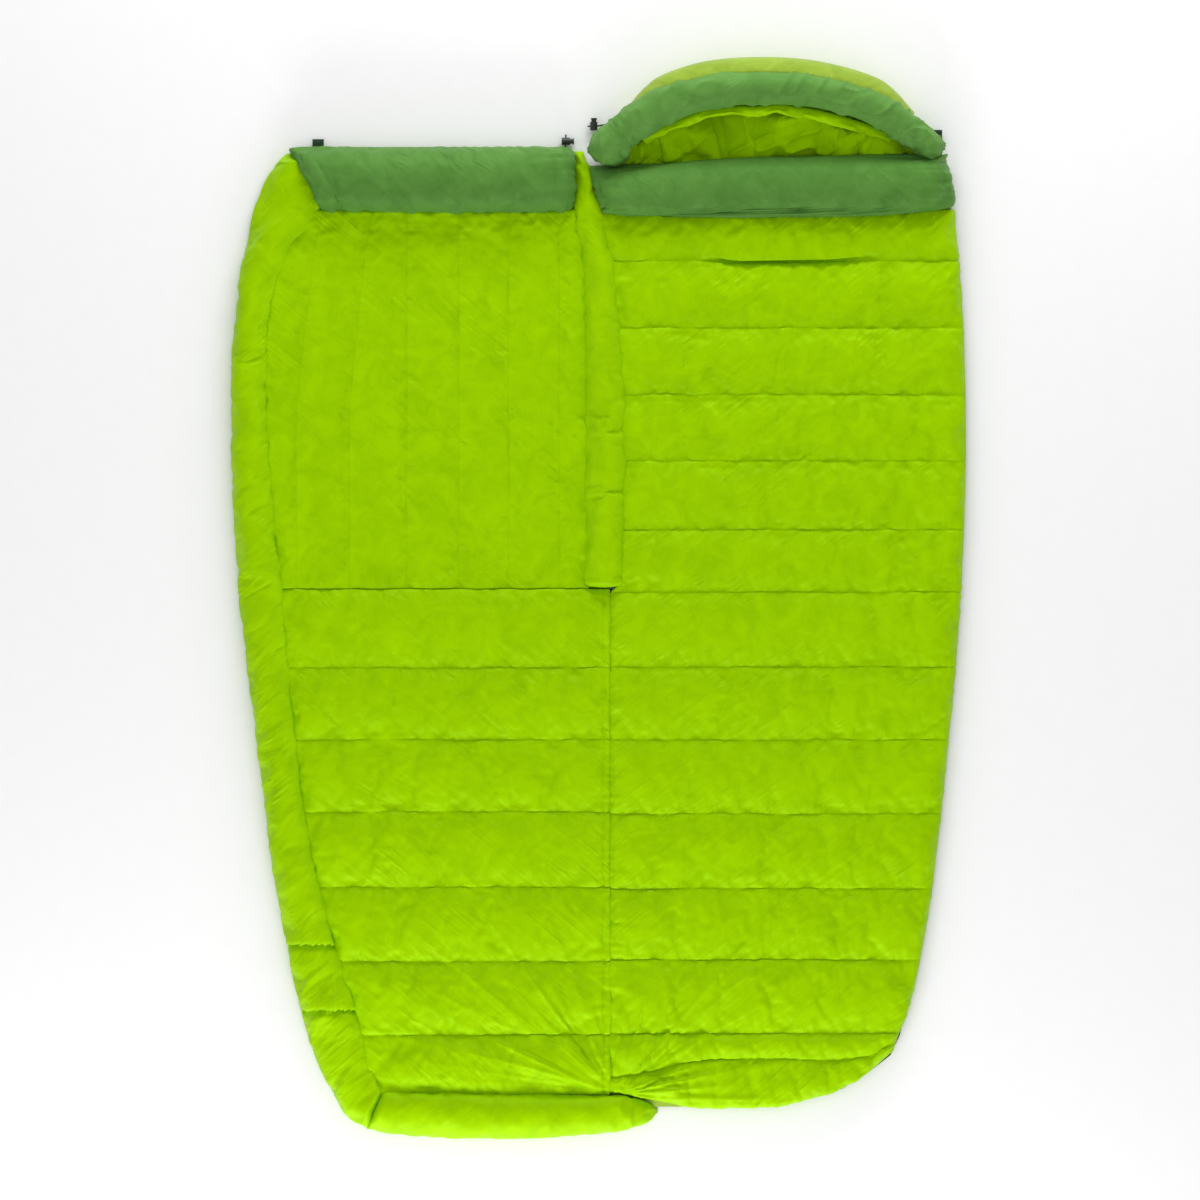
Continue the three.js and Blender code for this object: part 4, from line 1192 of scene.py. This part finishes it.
def crown_place(u, v):
    t = CROWN_REACH[0] * (1 - v) + CROWN_REACH[1] * v
    flat, out = ring_spot(t)
    wall = round_section(CROWN_WALL, u)
    rise = 0.3 + 0.7 * ring_rise(t)
    thick = 0.45 + 0.55 * ease(np.minimum(v, 1 - v) / 0.16)
    wall[:, 0] = CROWN_MIDDLE + (wall[:, 0] - CROWN_MIDDLE) * thick
    return np.column_stack([flat + out * (wall[:, :1] * MM), wall[:, 1] * MM * rise])


def crown_inside(u, v):
    return (u > 7.6 / len(CROWN_WALL)) | (u < 0.02) | at_ends(v)


crown = roll(
    "hood_crown_shell", 36, 110, crown_place, shell_nylon, crown_inside, spare=0.015, cap_mm=3
)
dress(crown, 1.0, 0.5)
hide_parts("hood_crown")
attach(crown, "back_panel")

# %% [markdown]
# ### Floor
# The hood's floor is padded like the panels, but with no sewn lines, so its lining lies in loose
# uneven folds. It starts under the neck collar and ends under the crown. It is a grid between
# those two lines, swollen with much spare cloth, and creased along one slant.

# %% Floor
PAD_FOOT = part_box("neck_collar")[1].y - 16 * MM  # the floor starts under the neck collar
PAD_ENDS = (0.030, 0.630)  # where it starts and ends, as X
PAD_LOW = 8  # the height of its edge, in mm
hood_line = round_line(RING_PLACES, np.linspace(0, 1, 80))


def pad_place(u, v):
    x = PAD_ENDS[0] + (PAD_ENDS[1] - PAD_ENDS[0]) * u
    top = np.interp(x, hood_line[:, 0], hood_line[:, 1]) + 22 * MM * v
    depth = np.maximum(top - PAD_FOOT, 8 * MM)
    deep = np.clip(depth / 0.12, 0.1, 1)
    height = PAD_LOW + (20 + 16 * noise(x / 0.06, v * 2.4, 111)) * bulge(v) * deep
    return np.column_stack([x, PAD_FOOT + depth * v, height * MM])


pad = sheet_of("hood_floor_padded", 110, 28, pad_place, lining_nylon)
pad_pins = at_ends(attribute_of(pad, "across")) | at_ends(attribute_of(pad, "along"))
swell_cloth(pad, pad_pins, pressure=2.4, spare=0.11, cap_mm=12)
subdivide(pad)
keep_attribute(pad, "seam", np.full(len(pad.data.vertices), 1.0))
pad_x, pad_y, pad_z = points_of(pad).T
pad_folds = creases(pad_x, pad_y, 28, 50, 26, 113)
raise_by(pad, 9 * pad_folds * ease((pad_z - PAD_LOW * MM) / (8 * MM)))
close_with(pad, 1.6 * MM)
dress(pad, 1.0, 1.4)
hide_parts("hood_pad")
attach(pad, "back_panel")


# %% [markdown]
# ### Lip
# The lining is turned out under the ring as a narrow lip, whose edge waves a little. It is an
# oval tube along the ring's line, inside it and below it, and the waves are slow noise.

# %% Lip
LIP_REACH = (0.13, 0.87)  # where it starts and ends along the ring's line


def lip_place(u, v):
    t = LIP_REACH[0] * (1 - v) + LIP_REACH[1] * v
    flat, out = ring_spot(t)
    angle = 2 * np.pi * u
    inward = -(33 + 5 * np.sin(np.pi * v) + 5 * noise(v * 11, 0.3, 121))
    drop = -18 + 4 * noise(v * 9, 4.2, 122)
    height = RING_LOW + RING_RISE * ring_rise(t) + (drop + 7 * np.sin(angle)) * MM
    spot = flat + out * ((inward + 11 * np.cos(angle)) * MM)[:, None]
    spot[:, 1] -= SAG * ring_rise(t)
    return np.column_stack([spot, height])


def lip_under_ring(u, v):
    return (u < 0.3) | (u > 0.95)


lip = roll("hood_lining_lip", 16, 100, lip_place, lining_nylon, lip_under_ring, spare=0.08, cap_mm=5)
dress(lip, 1.0, 0.8)
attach(lip, "back_panel")

# %% [markdown]
# ## Smooth stuffed pieces
# Every stuffed piece is shaded smooth.

# %% Smooth stuffed pieces
for piece in (side_tube, foot_tube, centre_tube, front_collar, neck_collar, ring, crown, pad, lip):
    shade_smooth(piece)

# %% [markdown]
# ## Outer shells
# The shell lies underneath and shows when the front panel is folded over. It is sewn in the same
# lines as the lining, so its bellies touch the ground and its seams are drawn up. It rests on the
# ground, so a simulation would have nothing to blow up, and a formula gives the same shape.

# %% Shells
SHELL_CELL = 9.0
SHELL_SEAM = 8.0  # how high a seam is drawn up, in mm
SHELL_RIM = 10  # and its rim
SHELL_INSET = 3 * MM


def shell_piece(node_name, lines, joined_side, short=0):
    """A shell, drawn up at its lines. joined_side says which side is sewn to the other shell, 0 for
    its left and 1 for its right. It may end short of its CAD node at the top, under a collar."""
    sides = outline(node_name, 1)
    low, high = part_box(node_name)
    high.y -= short
    columns = round((high.x - low.x) / (SHELL_CELL * MM))
    rows = round((high.y - low.y) / (SHELL_CELL * MM))

    def place(u, v):
        y = low.y + SHELL_INSET + (high.y - low.y - 2 * SHELL_INSET) * v
        ends = [sides[0](y) + SHELL_INSET, sides[1](y) - SHELL_INSET]
        sewn_at = CENTRE_X + (TOUCH if joined_side == 0 else -TOUCH)
        ends[joined_side] = sewn_at + (ends[joined_side] - sewn_at) * parted_by_zip(y)
        left, right = ends
        x = left * (1 - u) + right * u
        seam = np.min([np.abs(line(x, y)) for line in lines], axis=0)
        edge = np.minimum(np.minimum(x - left, right - x), np.minimum(y - low.y, high.y - y))
        height = 0.3 + SHELL_SEAM * np.exp(-((seam / (15 * MM)) ** 1.4))
        height = np.maximum(height, SHELL_RIM * np.exp(-((edge / (14 * MM)) ** 1.5)))
        gathers = (1 - np.abs(noise(x / 0.014, y / 0.05, 131))) ** 2 * near(seam, 0, 22)
        return np.column_stack([x, y, (height + 1.2 * gathers) * MM])

    piece = sheet_of(f"{node_name}_quilted", columns, rows, place, shell_nylon)
    x, y, _ = points_of(piece).T
    seam = np.min([np.abs(line(x, y)) for line in lines], axis=0)
    keep_attribute(piece, "seam", seam)
    close_with(piece, LAYER_MEET - 0.2 * MM)
    dress(piece, 1.0, 0.8, 1.0)
    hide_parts(node_name)
    bend_at_fold(piece)


def across_line(stop, mapped):
    """The sewn line at a stop of a panel that is sewn across, as a distance in Y."""
    shares = np.linspace(0, 1, 40)
    xs, ys = mapped(np.full(40, float(stop)), shares)
    return lambda x, y: y - np.interp(x, xs, ys)


def upright_line(stop):
    """The sewn line at a stop of the chest, as a distance in X, and far away below the chest."""
    shares = np.linspace(0, 1, 40)
    xs, ys = chest_map(np.full(40, float(stop)), shares)
    return lambda x, y: np.where(y > ys.min(), x - np.interp(y, ys, xs), 1.0)


def collar_line(x, y):
    """The seam of the front collar, as a distance in Y for places of any X."""
    return y + 0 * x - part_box("chest_lining")[1].y


front_lines = [across_line(stop + 1, leg_map) for stop in range(CHAMBERS["leg"])]
front_lines += [upright_line(stop) for stop in range(1, CHAMBERS["chest"])] + [collar_line]
shell_piece("front_shell", front_lines, joined_side=1)
back_lines = [across_line(stop + 1, back_map) for stop in range(CHAMBERS["back"])]
shell_piece("back_shell", back_lines, joined_side=0, short=20 * MM)
print("shells after", round(time.time() - started), "s")

# %% [markdown]
# ## Zip tapes
# The tapes are flat strips of woven polyester with the coil standing up along one edge, and their
# CAD shape is right. Near the centre seam they have to bend with the cloth, and a CAD node can't,
# so a copy of each stands for it, cut into short strips.


# %% Zip tapes
def bending_tape(node_name):
    bm = bmesh.new()
    bm.from_mesh(nodes[node_name].data)
    bmesh.ops.remove_doubles(bm, verts=bm.verts, dist=0.01 * MM)
    for x in np.linspace(*FOLD_ZONE, 12):
        parts = [*bm.verts, *bm.edges, *bm.faces]
        bmesh.ops.bisect_plane(bm, geom=parts, plane_co=(x, 0, 0), plane_no=(1, 0, 0))
    bmesh.ops.triangulate(bm, faces=[face for face in bm.faces if len(face.verts) > 4])
    bmesh.ops.recalc_face_normals(bm, faces=bm.faces)
    piece = new_piece(f"{node_name}_woven", bm, zip_tape_finish)
    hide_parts(node_name)
    bend_at_fold(piece)


for edge_name in ("centre_zip_front", "centre_zip_back", "side_zip_front", "side_zip_back"):
    bending_tape(f"{edge_name}_tape")

# %% [markdown]
# ## Small hard parts
# The sliders, pulls, cord locks and their buttons, cord ends and tabs are small and hard, and the
# CAD has their true shape. They keep it and only get their finish.

# %% Small hard parts
SMALL_PARTS = {
    zinc_finish: ("centre_slider", "centre_pull", "side_slider", "side_pull"),
    acetal_finish: ("collar_cord_lock", "hood_cord_lock", "collar_cord_button", "hood_cord_button"),
    cord_finish: ("collar_cord", "hood_cord"),
    webbing_finish: ("collar_tab", "neck_tab"),
}
for finish, names in SMALL_PARTS.items():
    for name in names:
        nodes[name].data.materials.clear()
        nodes[name].data.materials.append(finish)
    print(finish.name, "on", len(names), "parts")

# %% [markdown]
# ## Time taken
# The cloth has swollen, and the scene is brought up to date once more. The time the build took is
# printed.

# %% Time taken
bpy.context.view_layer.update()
print("total", round(time.time() - started), "s")
